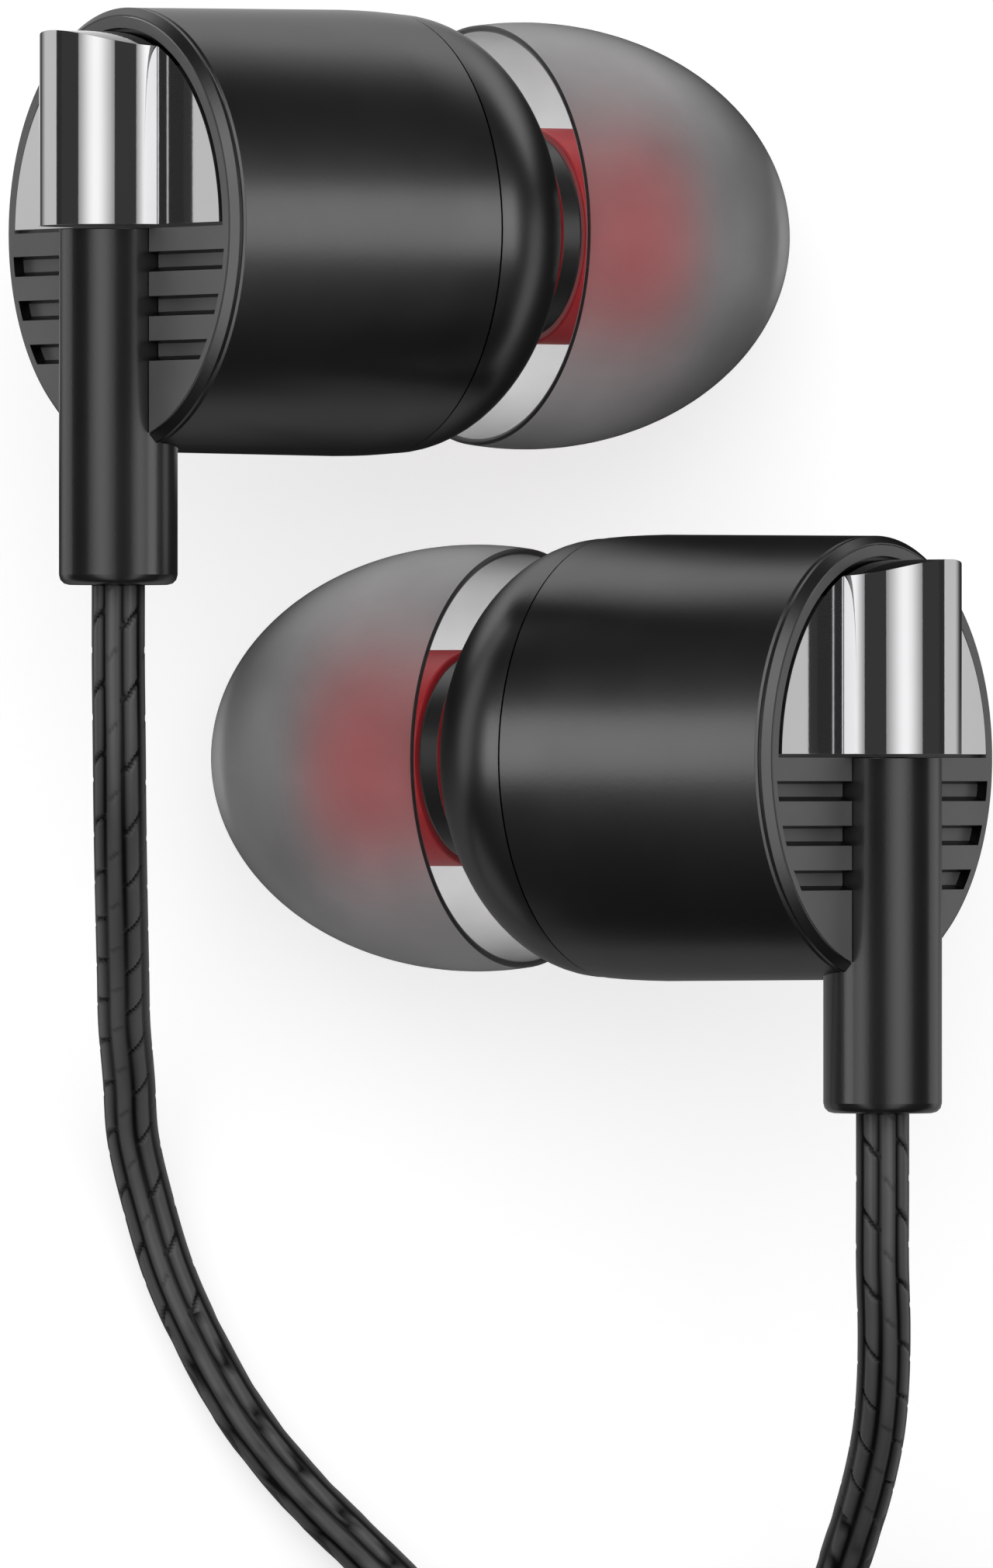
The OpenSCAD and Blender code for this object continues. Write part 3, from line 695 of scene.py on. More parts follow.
SATIN_BLACK = GroovedFinish(
    "satin_black_aluminium", (0.17, 0.17, 0.172), 0.3,
    metallic=1.0, rim=0.6, grain=0.0015, uneven=0.06,
)
PLATE_BLACK = GroovedFinish(
    "moulded_black_plate", (0.125, 0.125, 0.126), 0.36, ior=1.6, grain=0.003
)
STEM_BLACK = Finish("moulded_black_stem", (0.008, 0.008, 0.0085), 0.28, coat=0.3, ior=1.85)
CHROME = GroovedFinish(
    "polished_chrome", (0.86, 0.86, 0.87), 0.05, metallic=1.0, grain=0.0002, uneven=0.02
)
ACCENT_RED = Finish("gloss_red_ring", (0.3, 0.012, 0.018), 0.25, coat=0.3, grain=0.001)
COLLAR_BLACK = Finish("gloss_black_collar", (0.02, 0.02, 0.021), 0.34, ior=1.7, grain=0.0005)
# The core's red silicone also gets a painted glow, seen through the tip's skin.
CORE_RED = GlowingFinish("red_silicone_core_painted_glow", (0.62, 0.03, 0.04), 0.42, through=0.46)
# The ear tip's edge colour is painted shade.
TIP_GREY = SiliconeFinish(
    "smoke_silicone", (0.6, 0.6, 0.605), 0.5, ior=1.41, grain=0.0015,
    clear=0.9, edge=(0.12, 0.12, 0.123), dye=(0.5, 0.5, 0.51), density=40.0,
)
STEEL_SCREEN = Finish("steel_screen", (0.5, 0.5, 0.5), 0.35, metallic=1.0)
CORD_BLACK = GroovedFinish("black_cord", (0.105, 0.105, 0.106), 0.34, fine=6000.0)
MOULDED_BLACK = Finish("moulded_black_rubber", (0.025, 0.025, 0.026), 0.42, grain=0.004)
TIE_BLACK = Finish("black_tie", (0.02, 0.02, 0.02), 0.5, grain=0.006, fine=4000.0)
GOLD = Finish("gold_contact", (0.83, 0.62, 0.3), 0.14, metallic=1.0, grain=0.0004, uneven=0.04)
INSULATOR = Finish("black_insulator", (0.015, 0.015, 0.015), 0.35)
DRIVER_BLACK = Finish("driver_black", (0.06, 0.06, 0.065), 0.45)
DRIVER_STEEL = Finish("driver_steel", (0.55, 0.55, 0.56), 0.3, metallic=1.0)
MAGNET = Finish("nickel_magnet", (0.36, 0.36, 0.38), 0.25, metallic=1.0)
COPPER = Finish("enamelled_copper", (0.72, 0.32, 0.16), 0.28, metallic=1.0, fine=14000.0)
FILM = Finish("diaphragm_film", (0.75, 0.7, 0.58), 0.22, coat=0.3)
BOARD = Finish("green_board", (0.03, 0.2, 0.09), 0.3, coat=0.3)

# What CAD keeps inside each earbud.
INSIDE = {
    "nozzle_mesh": STEEL_SCREEN,
    "driver_frame": DRIVER_BLACK,
    "driver_cover": DRIVER_STEEL,
    "magnet_cup": DRIVER_STEEL,
    "magnet": MAGNET,
    "pole_plate": DRIVER_STEEL,
    "voice_coil": COPPER,
    "diaphragm": FILM,
    "terminal_board": BOARD,
    "inner_wires": COPPER,
    "cable_end": MOULDED_BLACK,
}


class Wardrobe:
    """Builds each finish once and dresses pieces and CAD nodes in it."""

    def __init__(self) -> None:
        """Starts with no material made."""
        self.made: dict[str, bpy.types.Material] = {}

    def material(self, finish: Finish) -> bpy.types.Material:
        """The finish's material, made on its first use.

        Args:
            finish: The finish.

        Returns:
            The material.
        """
        if finish.name not in self.made:
            self.made[finish.name] = finish.build()
        return self.made[finish.name]

    def dress(
        self,
        piece: bpy.types.Object,
        finish: Finish,
        slot: str,
        nodes: list[str],
        body: str = ROOT_BODY,
    ) -> bpy.types.Object:
        """Gives a new piece its finish, its body and the CAD nodes that it stands for.

        Args:
            piece: The piece.
            finish: Its finish.
            slot: The record's material slot; not used.
            nodes: Names of the CAD nodes that it replaces.
            body: The body that it rides on.

        Returns:
            The piece.
        """
        piece.data.materials.clear()
        piece.data.materials.append(self.material(finish))
        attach(piece, body)
        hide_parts(*nodes)
        LOG.info("%s: %d faces, %s", piece.name, len(piece.data.polygons), finish.name)
        return piece

    def recolour(self, node: str, finish: Finish) -> None:
        """Gives a carried-over CAD node its finish.

        Args:
            node: The node's name.
            finish: Its finish.
        """
        piece = bpy.data.objects[node]
        for place in piece.material_slots:
            place.material = self.material(finish)
        LOG.info("%s: CAD node, %s", node, finish.name)


# ---------------------------------------------------------------- the earbud


@dataclass
class Earbud:
    """One earbud about its own axis, in millimetres, and the pair's places.

    Attributes:
        tilt: How far the axis dips below level, in degrees.
        spacing_x: Distance between the earbuds across the pair.
        spacing_y: Distance between the earbuds along the stems.
        body_r: Radius of the housing at the bezel.
        front_r: Greatest radius of the rear shell.
        seam_r: Radius at the seam.
        seam: Depth of the seam.
        cavity_r: Inner radius of the rear shell.
        groove: Width of the fine groove beside the bezel.
        seam_gap: Half the width of the gap at the seam.
        seam_deep: Depth of that gap.
        bezel_len: Depth of the bezel's inner face.
        bezel_back: Depth of its outer face.
        bezel_chamfer: Width of its chamfer.
        plate_r: Radius of the back plate.
        plate_back: Depth of the back plate's face.
        plate_front: Depth of its inner face.
        slot_h: Height of one slot.
        slot_pitch: Distance from one slot to the next.
        slot_first: Distance of the first slot below the centre.
        slot_deep: Depth of the slots.
        slot_draft: How far a slot narrows at its lower and upper side, as shares of its depth.
        slot_end_r: Radius that the slots' ends follow.
        trim_r: Radius of the trim.
        trim_depth: Depth of its half-disc's face.
        trim_t: Thickness of the half-disc.
        trim_gap: Gap between the trim and the plate round it.
        barrel_r: Radius of the trim's barrel.
        stem_r: Radius of the stem.
        stem_len: Length of the stem below the centre.
        stem_depth: Depth of the stem's axis.
        stem_seat: Depth to which the stem is let into the plate.
        stem_inner: Where its full round ends inside the housing.
        dome_mid: Depth of the front dome's widest place.
        dome_len: Length of the dome to where it would close.
        dome_front_r: Radius of the dome's flat front.
        dome_wall: Thickness of its wall.
        spigot_len: How far the front shell reaches into the rear one.
        driver_r: Radius of the driver's room.
        driver_seat: Depth of the step that the driver sits on.
        driver_lip: Width of that step.
        screen_lip: Width of the step that the nozzle's screen sits on.
        screen_deep: How far that step lies in the nozzle's mouth.
        neck_r: Radius of the nozzle.
        rib_r: Radius of the nozzle's rib.
        nozzle_bore_r: Radius of its bore.
        nozzle_len: Length of the nozzle past the dome.
        accent_t: Thickness of the red ring.
        accent_r: Radius of the red ring.
        collar_len: Length of the black collar.
        collar_r: Radius of the collar.
        core_r: Outer radius of the tip's sleeve.
        core_len: Length of the sleeve.
        umbrella_r: Greatest radius of the tip's dome.
        umbrella_len: Length of the dome from its widest place to where it would close.
        umbrella_mid: Depth of its widest place.
        skirt_len: How far the skirt runs back.
        umbrella_t: Thickness of the dome's skin at its skirt.
        umbrella_front_t: Thickness of the skin at its front.
        rim_t: Thickness of the skirt's edge.
        rim_len: Length over which the skirt thins to its edge.
        mouth_r: Radius of the tip's mouth.
        lip_r: Radius of the flat lip round the mouth.
        stem_chamfer: Width of the chamfer at the stem's end.
        bore_top: Distance of the upper end of the stem's bore below the centre.
        end_shade: How dark the painted shade on the upper end of the trim's barrel is, as a share.
        cord_d: Diameter of the cord that leaves the stem.
    """

    tilt: float = 32.0
    spacing_x: float = 21.06
    spacing_y: float = 14.67
    body_r: float = 6.17
    front_r: float = 6.24
    seam_r: float = 6.15
    seam: float = 8.63
    cavity_r: float = 5.42
    groove: float = 0.06
    seam_gap: float = 0.03
    seam_deep: float = 0.15
    bezel_len: float = 0.25
    bezel_back: float = -0.1
    bezel_chamfer: float = 0.2
    plate_r: float = 5.91
    plate_back: float = -0.12
    plate_front: float = 0.83
    slot_h: float = 0.56
    slot_pitch: float = 1.234
    slot_first: float = 0.93
    slot_deep: float = 0.32
    slot_draft: tuple[float, float] = (0.4, 0.24)
    slot_end_r: float = 5.71
    trim_r: float = 5.5
    trim_depth: float = -0.17
    trim_t: float = 0.3
    trim_gap: float = 0.1
    barrel_r: float = 2.2
    stem_r: float = 1.65
    stem_len: float = 9.87
    stem_depth: float = -0.1
    stem_seat: float = 0.3
    stem_inner: float = 3.3
    dome_mid: float = 8.75
    dome_len: float = 4.15
    dome_front_r: float = 2.9
    dome_wall: float = 0.8
    spigot_len: float = 0.65
    driver_r: float = 5.04
    driver_seat: float = 9.0
    driver_lip: float = 0.4
    screen_lip: float = 0.29
    screen_deep: float = 0.25
    neck_r: float = 2.0
    rib_r: float = 2.2
    nozzle_bore_r: float = 1.45
    nozzle_len: float = 5.05
    accent_t: float = 0.2
    accent_r: float = 3.08
    collar_len: float = 0.73
    collar_r: float = 2.88
    core_r: float = 3.04
    core_len: float = 3.6
    umbrella_r: float = 6.0
    umbrella_len: float = 8.0
    umbrella_mid: float = 13.2
    skirt_len: float = 1.5
    umbrella_t: float = 0.3
    umbrella_front_t: float = 0.7
    rim_t: float = 0.16
    rim_len: float = 1.2
    mouth_r: float = 1.9
    lip_r: float = 2.45
    stem_chamfer: float = 0.28
    bore_top: float = 4.3
    end_shade: float = 0.85
    cord_d: float = 1.5

    def __post_init__(self) -> None:
        """Works out the depths and places that follow from the sizes."""
        self.trim_front = self.trim_depth + self.trim_t
        narrowed = self.dome_front_r / self.seam_r
        self.dome_full = math.degrees(math.acos(narrowed))
        self.dome_front = self.dome_mid + self.dome_len * math.sqrt(1 - narrowed**2)
        self.accent_front = self.dome_front + self.accent_t
        self.collar_front = self.accent_front + self.collar_len
        self.nozzle_end = self.dome_front + self.nozzle_len
        self.core_end = self.collar_front + self.core_len
        self.core_bore_r = self.rib_r + 0.05
        turn = math.radians(self.tilt)
        self.lift = self.umbrella_mid * math.sin(turn) + math.hypot(
            self.umbrella_len * math.sin(turn), self.umbrella_r * math.cos(turn)
        )
        self.left_y = (self.spacing_y + self.stem_len - self.front_r) / 2

    def place(self, side: Side) -> Matrix:
        """Where a side's earbud lies, from its own millimetres to the row's metres.

        Args:
            side: The side.

        Returns:
            The place, as a matrix.
        """
        y = self.left_y if side is Side.LEFT else self.left_y - self.spacing_y
        move = Matrix.Translation((side.sign * self.spacing_x / 2, y, self.lift))
        flip = Matrix.Scale(-side.sign, 4, (1, 0, 0))
        tip = Matrix.Rotation(math.radians(90 + self.tilt), 4, "Y")
        return Matrix.Scale(MM, 4) @ move @ flip @ tip

    def stem_way(self) -> bpy.types.Object:
        """The room that the stem needs in the pieces round it.

        Returns:
            The solid to take away from them.
        """
        radius = self.stem_r + FIT
        way = bar("stem_way", radius, -self.stem_inner, -self.stem_len, self.stem_depth)
        flat = bar("stem_flat", radius, 0.01, -self.stem_len, self.stem_depth)
        room = block("stem_room", (-FAR, -self.stem_len, -FAR), (FAR, 1, self.stem_seat))
        shape(flat, room, Cut.KEEP_COMMON)
        shape(way, flat, Cut.JOIN)
        return way

    def rear_bezel(self) -> bpy.types.Object:
        """The thin chamfered ring round the back plate, open where the stem passes.

        Returns:
            The ring.
        """
        inner = self.plate_r + 0.02
        profile = [
            (inner, self.bezel_back),
            (self.body_r - self.bezel_chamfer, self.bezel_back),
            (self.body_r, self.bezel_back + self.bezel_chamfer),
            (self.body_r, self.bezel_len - self.groove),
            (self.body_r - self.groove, self.bezel_len),
            (inner, self.bezel_len),
        ]
        piece = turned("rear_bezel", profile, sides=FINE_SIDES)
        shape(piece, self.stem_way())
        soften(piece, 0.04)
        return piece

    def rear_plate(self) -> bpy.types.Object:
        """The back plate with the trim's pocket, the stem's channel and three rows of slots.

        Returns:
            The plate.
        """
        boss_r = self.cavity_r - FIT
        profile = [
            (self.plate_r, self.plate_back),
            (self.plate_r, self.bezel_len),
            (boss_r, self.bezel_len),
            (boss_r, self.plate_front),
        ]
        piece = turned("rear_plate", profile, hollow=False, sides=FINE_SIDES)
        pocket = disc("pocket", self.trim_r + self.trim_gap, -FAR, self.trim_front)
        cut_at(pocket, (0, 0, 0), (0, -1, 0))
        shape(piece, pocket)
        shape(piece, self.stem_way())
        for row in range(3):
            y = -self.slot_first - row * self.slot_pitch
            slot = disc("slot", self.slot_end_r, -FAR, self.plate_back + self.slot_deep)
            for way, draft in zip((-1, 1), self.slot_draft):
                cut_at(slot, (0, y + way * self.slot_h / 2, self.plate_back), (0, way, draft))
            shape(piece, slot)
        merge_flats(piece)
        soften(piece, 0.03)
        # Painted shade: the slots' walls are darkened as if shade fell in them.
        mark_grooves(piece, self.slot_wall)
        return piece

    def slot_wall(self, place: Vector, normal: Vector) -> bool:
        """Whether a face of the back plate is a wall of a slot, along it or at its outer end, which
        gets painted shade.

        Args:
            place: The face's centre.
            normal: Its normal.

        Returns:
            True for such a wall.
        """
        if place.z < self.plate_back + 0.02 or place.y > 0:
            return False
        out = Vector((place.x, place.y, 0))
        at_end = abs(out.length - self.slot_end_r) < 0.1
        faces_in = normal.dot(out.normalized()) < -0.6
        return (abs(normal.y) > 0.6 and out.length < self.slot_end_r) or (at_end and faces_in)

    def trim(self) -> bpy.types.Object:
        """The chromed half-disc and its half-round barrel.

        Returns:
            The trim.
        """
        piece = disc("trim", self.trim_r, -FAR, self.trim_front)
        barrel = bar("barrel", self.barrel_r, self.plate_r, -1, self.stem_depth, sides=160)
        shape(piece, barrel, Cut.KEEP_COMMON)
        shape(piece, disc("disc", self.trim_r, self.trim_depth, self.trim_front), Cut.JOIN)
        cut_at(piece, (0, self.trim_gap, 0), (0, -1, 0))
        merge_flats(piece)
        soften(piece, 0.1, segments=3, angle=50)
        # Painted shade: the barrel's upper end is darkened over its chrome reflection.
        mark_grooves(piece, self.barrel_end)
        return piece

    def barrel_end(self, place: Vector, normal: Vector) -> float:
        """How much painted shade a face of the trim takes: only the barrel's upper end, darkened
        over its reflection.
        """
        return self.end_shade * (normal.y > 0.25 and abs(place.x) < self.barrel_r + 1)

    def stem(self) -> bpy.types.Object:
        """The stem: round, its back let flat into the plate, bored for the cord.

        Returns:
            The stem.
        """
        piece = bar("stem", self.stem_r, 0, -self.stem_len, self.stem_depth, sides=TURN_SIDES)
        pick_edges(piece, lambda a, b: max(a.y, b.y) < 0.01 - self.stem_len)
        bpy.ops.mesh.bevel(offset=self.stem_chamfer, segments=3, profile=0.5)
        bpy.ops.mesh.select_mode(type="VERT")
        deselect()
        shape(piece, block("seat", (-FAR, -self.stem_inner, self.stem_seat), (FAR, 1, FAR)))
        bore_r = self.cord_d / 2 + 0.05
        shape(piece, bar("bore", bore_r, -self.bore_top, -self.stem_len - 1, self.stem_depth))
        merge_flats(piece)
        soften(piece, 0.04)
        return piece

    def in_seam(self, place: Vector, normal: Vector) -> bool:
        """Whether a face lies in the gap between the two shells, which gets painted shade."""
        at_seam = abs(place.z - self.seam) < 1.5 * self.seam_gap
        return at_seam and math.hypot(place.x, place.y) > self.cavity_r + 0.1

    def rear_shell(self) -> bpy.types.Object:
        """The main barrel of the housing.

        Returns:
            The shell.
        """
        seam_start, floor_r = self.seam - self.seam_gap, self.body_r - self.seam_deep
        profile = [
            (self.body_r - self.groove, self.bezel_len),
            (self.body_r, self.bezel_len + self.groove),
            (self.front_r, self.seam * 0.8),
            (self.front_r - 0.01, self.seam * 0.87),
            (self.front_r - 0.03, self.seam * 0.93),
            (self.body_r, seam_start),
            (floor_r, seam_start),
            (floor_r, self.seam),
            (self.cavity_r, self.seam),
            (self.cavity_r, self.bezel_len),
        ]
        piece = turned("rear_shell", profile)
        shape(piece, self.stem_way())
        soften(piece, 0.014)
        # Painted shade in the seam's gap.
        mark_grooves(piece, self.in_seam)
        return piece

    def front_shell(self) -> bpy.types.Object:
        """The domed front with the sound nozzle, hollow for the driver.

        Returns:
            The shell.
        """
        spigot_r, spigot = self.cavity_r - FIT, self.seam - self.spigot_len
        seam_end, floor_r = self.seam + self.seam_gap, self.seam_r - self.seam_deep
        inner_r, inner_len = self.seam_r - self.dome_wall, self.dome_len - self.dome_wall
        full = math.degrees(math.acos(self.nozzle_bore_r / inner_r))
        low = math.degrees(math.asin((self.driver_seat + 0.2 - self.dome_mid) / inner_len))
        hole_r = self.driver_r - self.driver_lip
        screen_r, end = self.nozzle_bore_r + self.screen_lip, self.nozzle_end
        inside = arc((0, self.dome_mid), (inner_r, inner_len), full, low, 16)
        profile = [
            (spigot_r, spigot),
            (spigot_r, self.seam),
            (floor_r, self.seam),
            (floor_r, seam_end),
            (self.seam_r, seam_end),
            *arc((0, self.dome_mid), (self.seam_r, self.dome_len), 0, self.dome_full, 22),
            (self.neck_r, self.dome_front),
            (self.neck_r, end - 0.8),
            (self.rib_r, end - 0.6),
            (self.rib_r, end - 0.15),
            (self.rib_r - 0.15, end),
            (screen_r, end),
            (screen_r, end - self.screen_deep),
            (self.nozzle_bore_r, end - self.screen_deep),
            *((min(r, hole_r), z) for r, z in inside),
            (hole_r, self.driver_seat),
            (self.driver_r, self.driver_seat),
            (self.driver_r, spigot),
        ]
        piece = turned("front_shell", profile)
        soften(piece, 0)
        # Painted shade in the seam's gap.
        mark_grooves(piece, self.in_seam)
        return piece

    def accent_ring(self) -> bpy.types.Object:
        """The thin red ring where the dome ends."""
        radii = (self.neck_r + FIT, self.accent_r)
        return ring("accent_ring", radii, (self.dome_front, self.accent_front), 0.03)

    def nozzle_collar(self) -> bpy.types.Object:
        """The glossy collar behind the ear tip."""
        radii = (self.neck_r + FIT, self.collar_r)
        return ring("nozzle_collar", radii, (self.accent_front, self.collar_front), 0.1, 3)

    def tip_core(self) -> bpy.types.Object:
        """The red inner sleeve of the ear tip."""
        radii = (self.core_bore_r, self.core_r)
        return ring("tip_core", radii, (self.collar_front, self.core_end), 0.06)

    def tip_umbrella(self) -> bpy.types.Object:
        """The grey dome of the ear tip: outer skin, rim, inner skin and neck.

        Returns:
            The dome.
        """
        middle, rim = (0, self.umbrella_mid), self.umbrella_mid - self.skirt_len
        skin_r = self.umbrella_r - self.umbrella_t
        skin_len = self.umbrella_len - self.umbrella_front_t
        rim_out, rim_in = (
            math.degrees(math.asin(-self.skirt_len / reach))
            for reach in (self.umbrella_len, skin_len)
        )
        lip = math.degrees(math.acos(self.lip_r / self.umbrella_r))
        neck_top = math.degrees(math.acos(self.core_r / skin_r))
        outer = arc(middle, (self.umbrella_r, self.umbrella_len), rim_out, lip, 40)
        thinning = self.umbrella_t - self.rim_t
        inner = [
            (r + thinning * max(0.0, 1 - (z - rim) / self.rim_len), z)
            for r, z in arc(middle, (skin_r, skin_len), neck_top, rim_in, 36)
        ]
        lip_depth = outer[-1][1]
        rim_r = (outer[0][0] + inner[-1][0]) / 2
        mouth_end = self.nozzle_end + 0.2
        profile = [
            (rim_r, rim - self.rim_t * 0.3),
            (rim_r + self.rim_t * 0.32, rim - self.rim_t * 0.2),
            *outer,
            (self.lip_r - 0.2, lip_depth + 0.1),
            (self.mouth_r + 0.2, lip_depth + 0.12),
            (self.mouth_r, lip_depth - 0.1),
            (self.mouth_r, mouth_end),
            (self.core_bore_r, mouth_end),
            (self.core_bore_r, self.core_end),
            (self.core_r, self.core_end),
            *inner,
            (rim_r - self.rim_t * 0.32, rim - self.rim_t * 0.2),
        ]
        piece = turned("tip_umbrella", profile, sides=128)
        soften(piece, 0)
        # Painted shade: the skirt's edge, below the rim, is darkened to near black.
        mark_grooves(piece, lambda place, normal: place.z < rim)
        return piece

    def build(self, wardrobe: Wardrobe) -> None:
        """Models each piece once, copies it to both sides and dresses what CAD keeps inside.

        Args:
            wardrobe: Where the finishes come from.
        """
        plan = (
            (self.rear_bezel, SATIN_BLACK, "housing", ""),
            (self.rear_plate, PLATE_BLACK, "plate_black", ""),
            (self.trim, CHROME, "chrome_trim", ""),
            (self.stem, STEM_BLACK, "stem_black", ""),
            (self.rear_shell, SATIN_BLACK, "housing", ""),
            (self.front_shell, SATIN_BLACK, "housing", ""),
            (self.accent_ring, ACCENT_RED, "accent_red", ""),
            (self.nozzle_collar, COLLAR_BLACK, "collar_black", ""),
            (self.tip_core, CORE_RED, "tip_red", "tip"),
            (self.tip_umbrella, TIP_GREY, "tip_grey", "tip"),
        )
        for model, finish, slot, part in plan:
            first = model()
            for side in Side:
                piece = first
                if side is Side.LEFT:
                    piece = first.copy()
                    piece.data = first.data.copy()
                    bpy.context.scene.collection.objects.link(piece)
                node = f"{side.value}_{model.__name__}"
                piece.name = piece.data.name = f"{node}_look"
                where = self.place(side)
                piece.data.transform(where)
                if where.determinant() < 0:
                    piece.data.flip_normals()
                piece.visible_glossy = model in (self.rear_plate, self.trim, self.stem)
                body = f"{side.value}_{part}" if part else ROOT_BODY
                wardrobe.dress(piece, finish, slot, [node], body)
        for side in Side:
            for name, finish in INSIDE.items():
                wardrobe.recolour(f"{side.value}_{name}", finish)

    def stem_exit(self, side: Side) -> Vector:
        """The middle of a stem's end, in millimetres."""
        return self.place(side) @ Vector((0, -self.stem_len, self.stem_depth)) / MM


# ---------------------------------------------------------------- the cords


@dataclass(frozen=True)
class Coil:
    """A neat coil: the cord spirals in and out in layers and climbs where the spiral turns back.

    Attributes:
        centre: The coil's centre on the surface.
        mean_r: Mean radius of its turns.
        step: Distance between neighbouring turns.
        turns: Number of turns.
        start: The angle where the cord comes in, in degrees.
        way: 1 for anticlockwise and -1 for clockwise, from above.
        lift: Height of its lowest turn above the surface.
        layers: Number of layers.
    """

    centre: tuple[float, float]
    mean_r: float
    step: float
    turns: float
    start: float
    way: int
    lift: float = 0.5
    layers: int = 4

    def at(self, turn: float, diameter: float) -> Vector:
        """The cord's middle after a number of turns.

        Args:
            turn: The number of turns.
            diameter: The cord's diameter.

        Returns:
            The point, in millimetres.
        """
        per = self.turns / self.layers
        out = self.mean_r + self.step * self.turns / self.layers / 2
        phase = turn / per
        radius = out - self.step * per * abs(phase - 2 * round(phase / 2))
        climbed = sum(min(max((turn - k * per) * 2 + 0.5, 0), 1) for k in range(1, self.layers))
        angle = math.radians(self.start + self.way * 360 * turn)
        return Vector(
            (
                self.centre[0] + radius * math.cos(angle),
                self.centre[1] + radius * math.sin(angle),
                self.lift + diameter / 2 + self.step * climbed,
            )
        )

    def heading(self, turn: float) -> Vector:
        """The direction in which the cord runs after a number of turns."""
        angle = math.radians(self.start + self.way * 360 * turn)
        return self.way * Vector((-math.sin(angle), math.cos(angle), 0))

    def line(self, diameter: float, per_turn: int = 48) -> list[Vector]:
        """Points along the coil, with one straight diameter at each end.

        Args:
            diameter: The cord's diameter.
            per_turn: Points a turn.

        Returns:
            The points, in millimetres.
        """
        count = round(self.turns * per_turn)
        points = [self.at(self.turns * i / count, diameter) for i in range(count + 1)]
        before = points[0] - diameter * self.heading(0)
        after = points[-1] + diameter * self.heading(self.turns)
        return [before, *points, after]


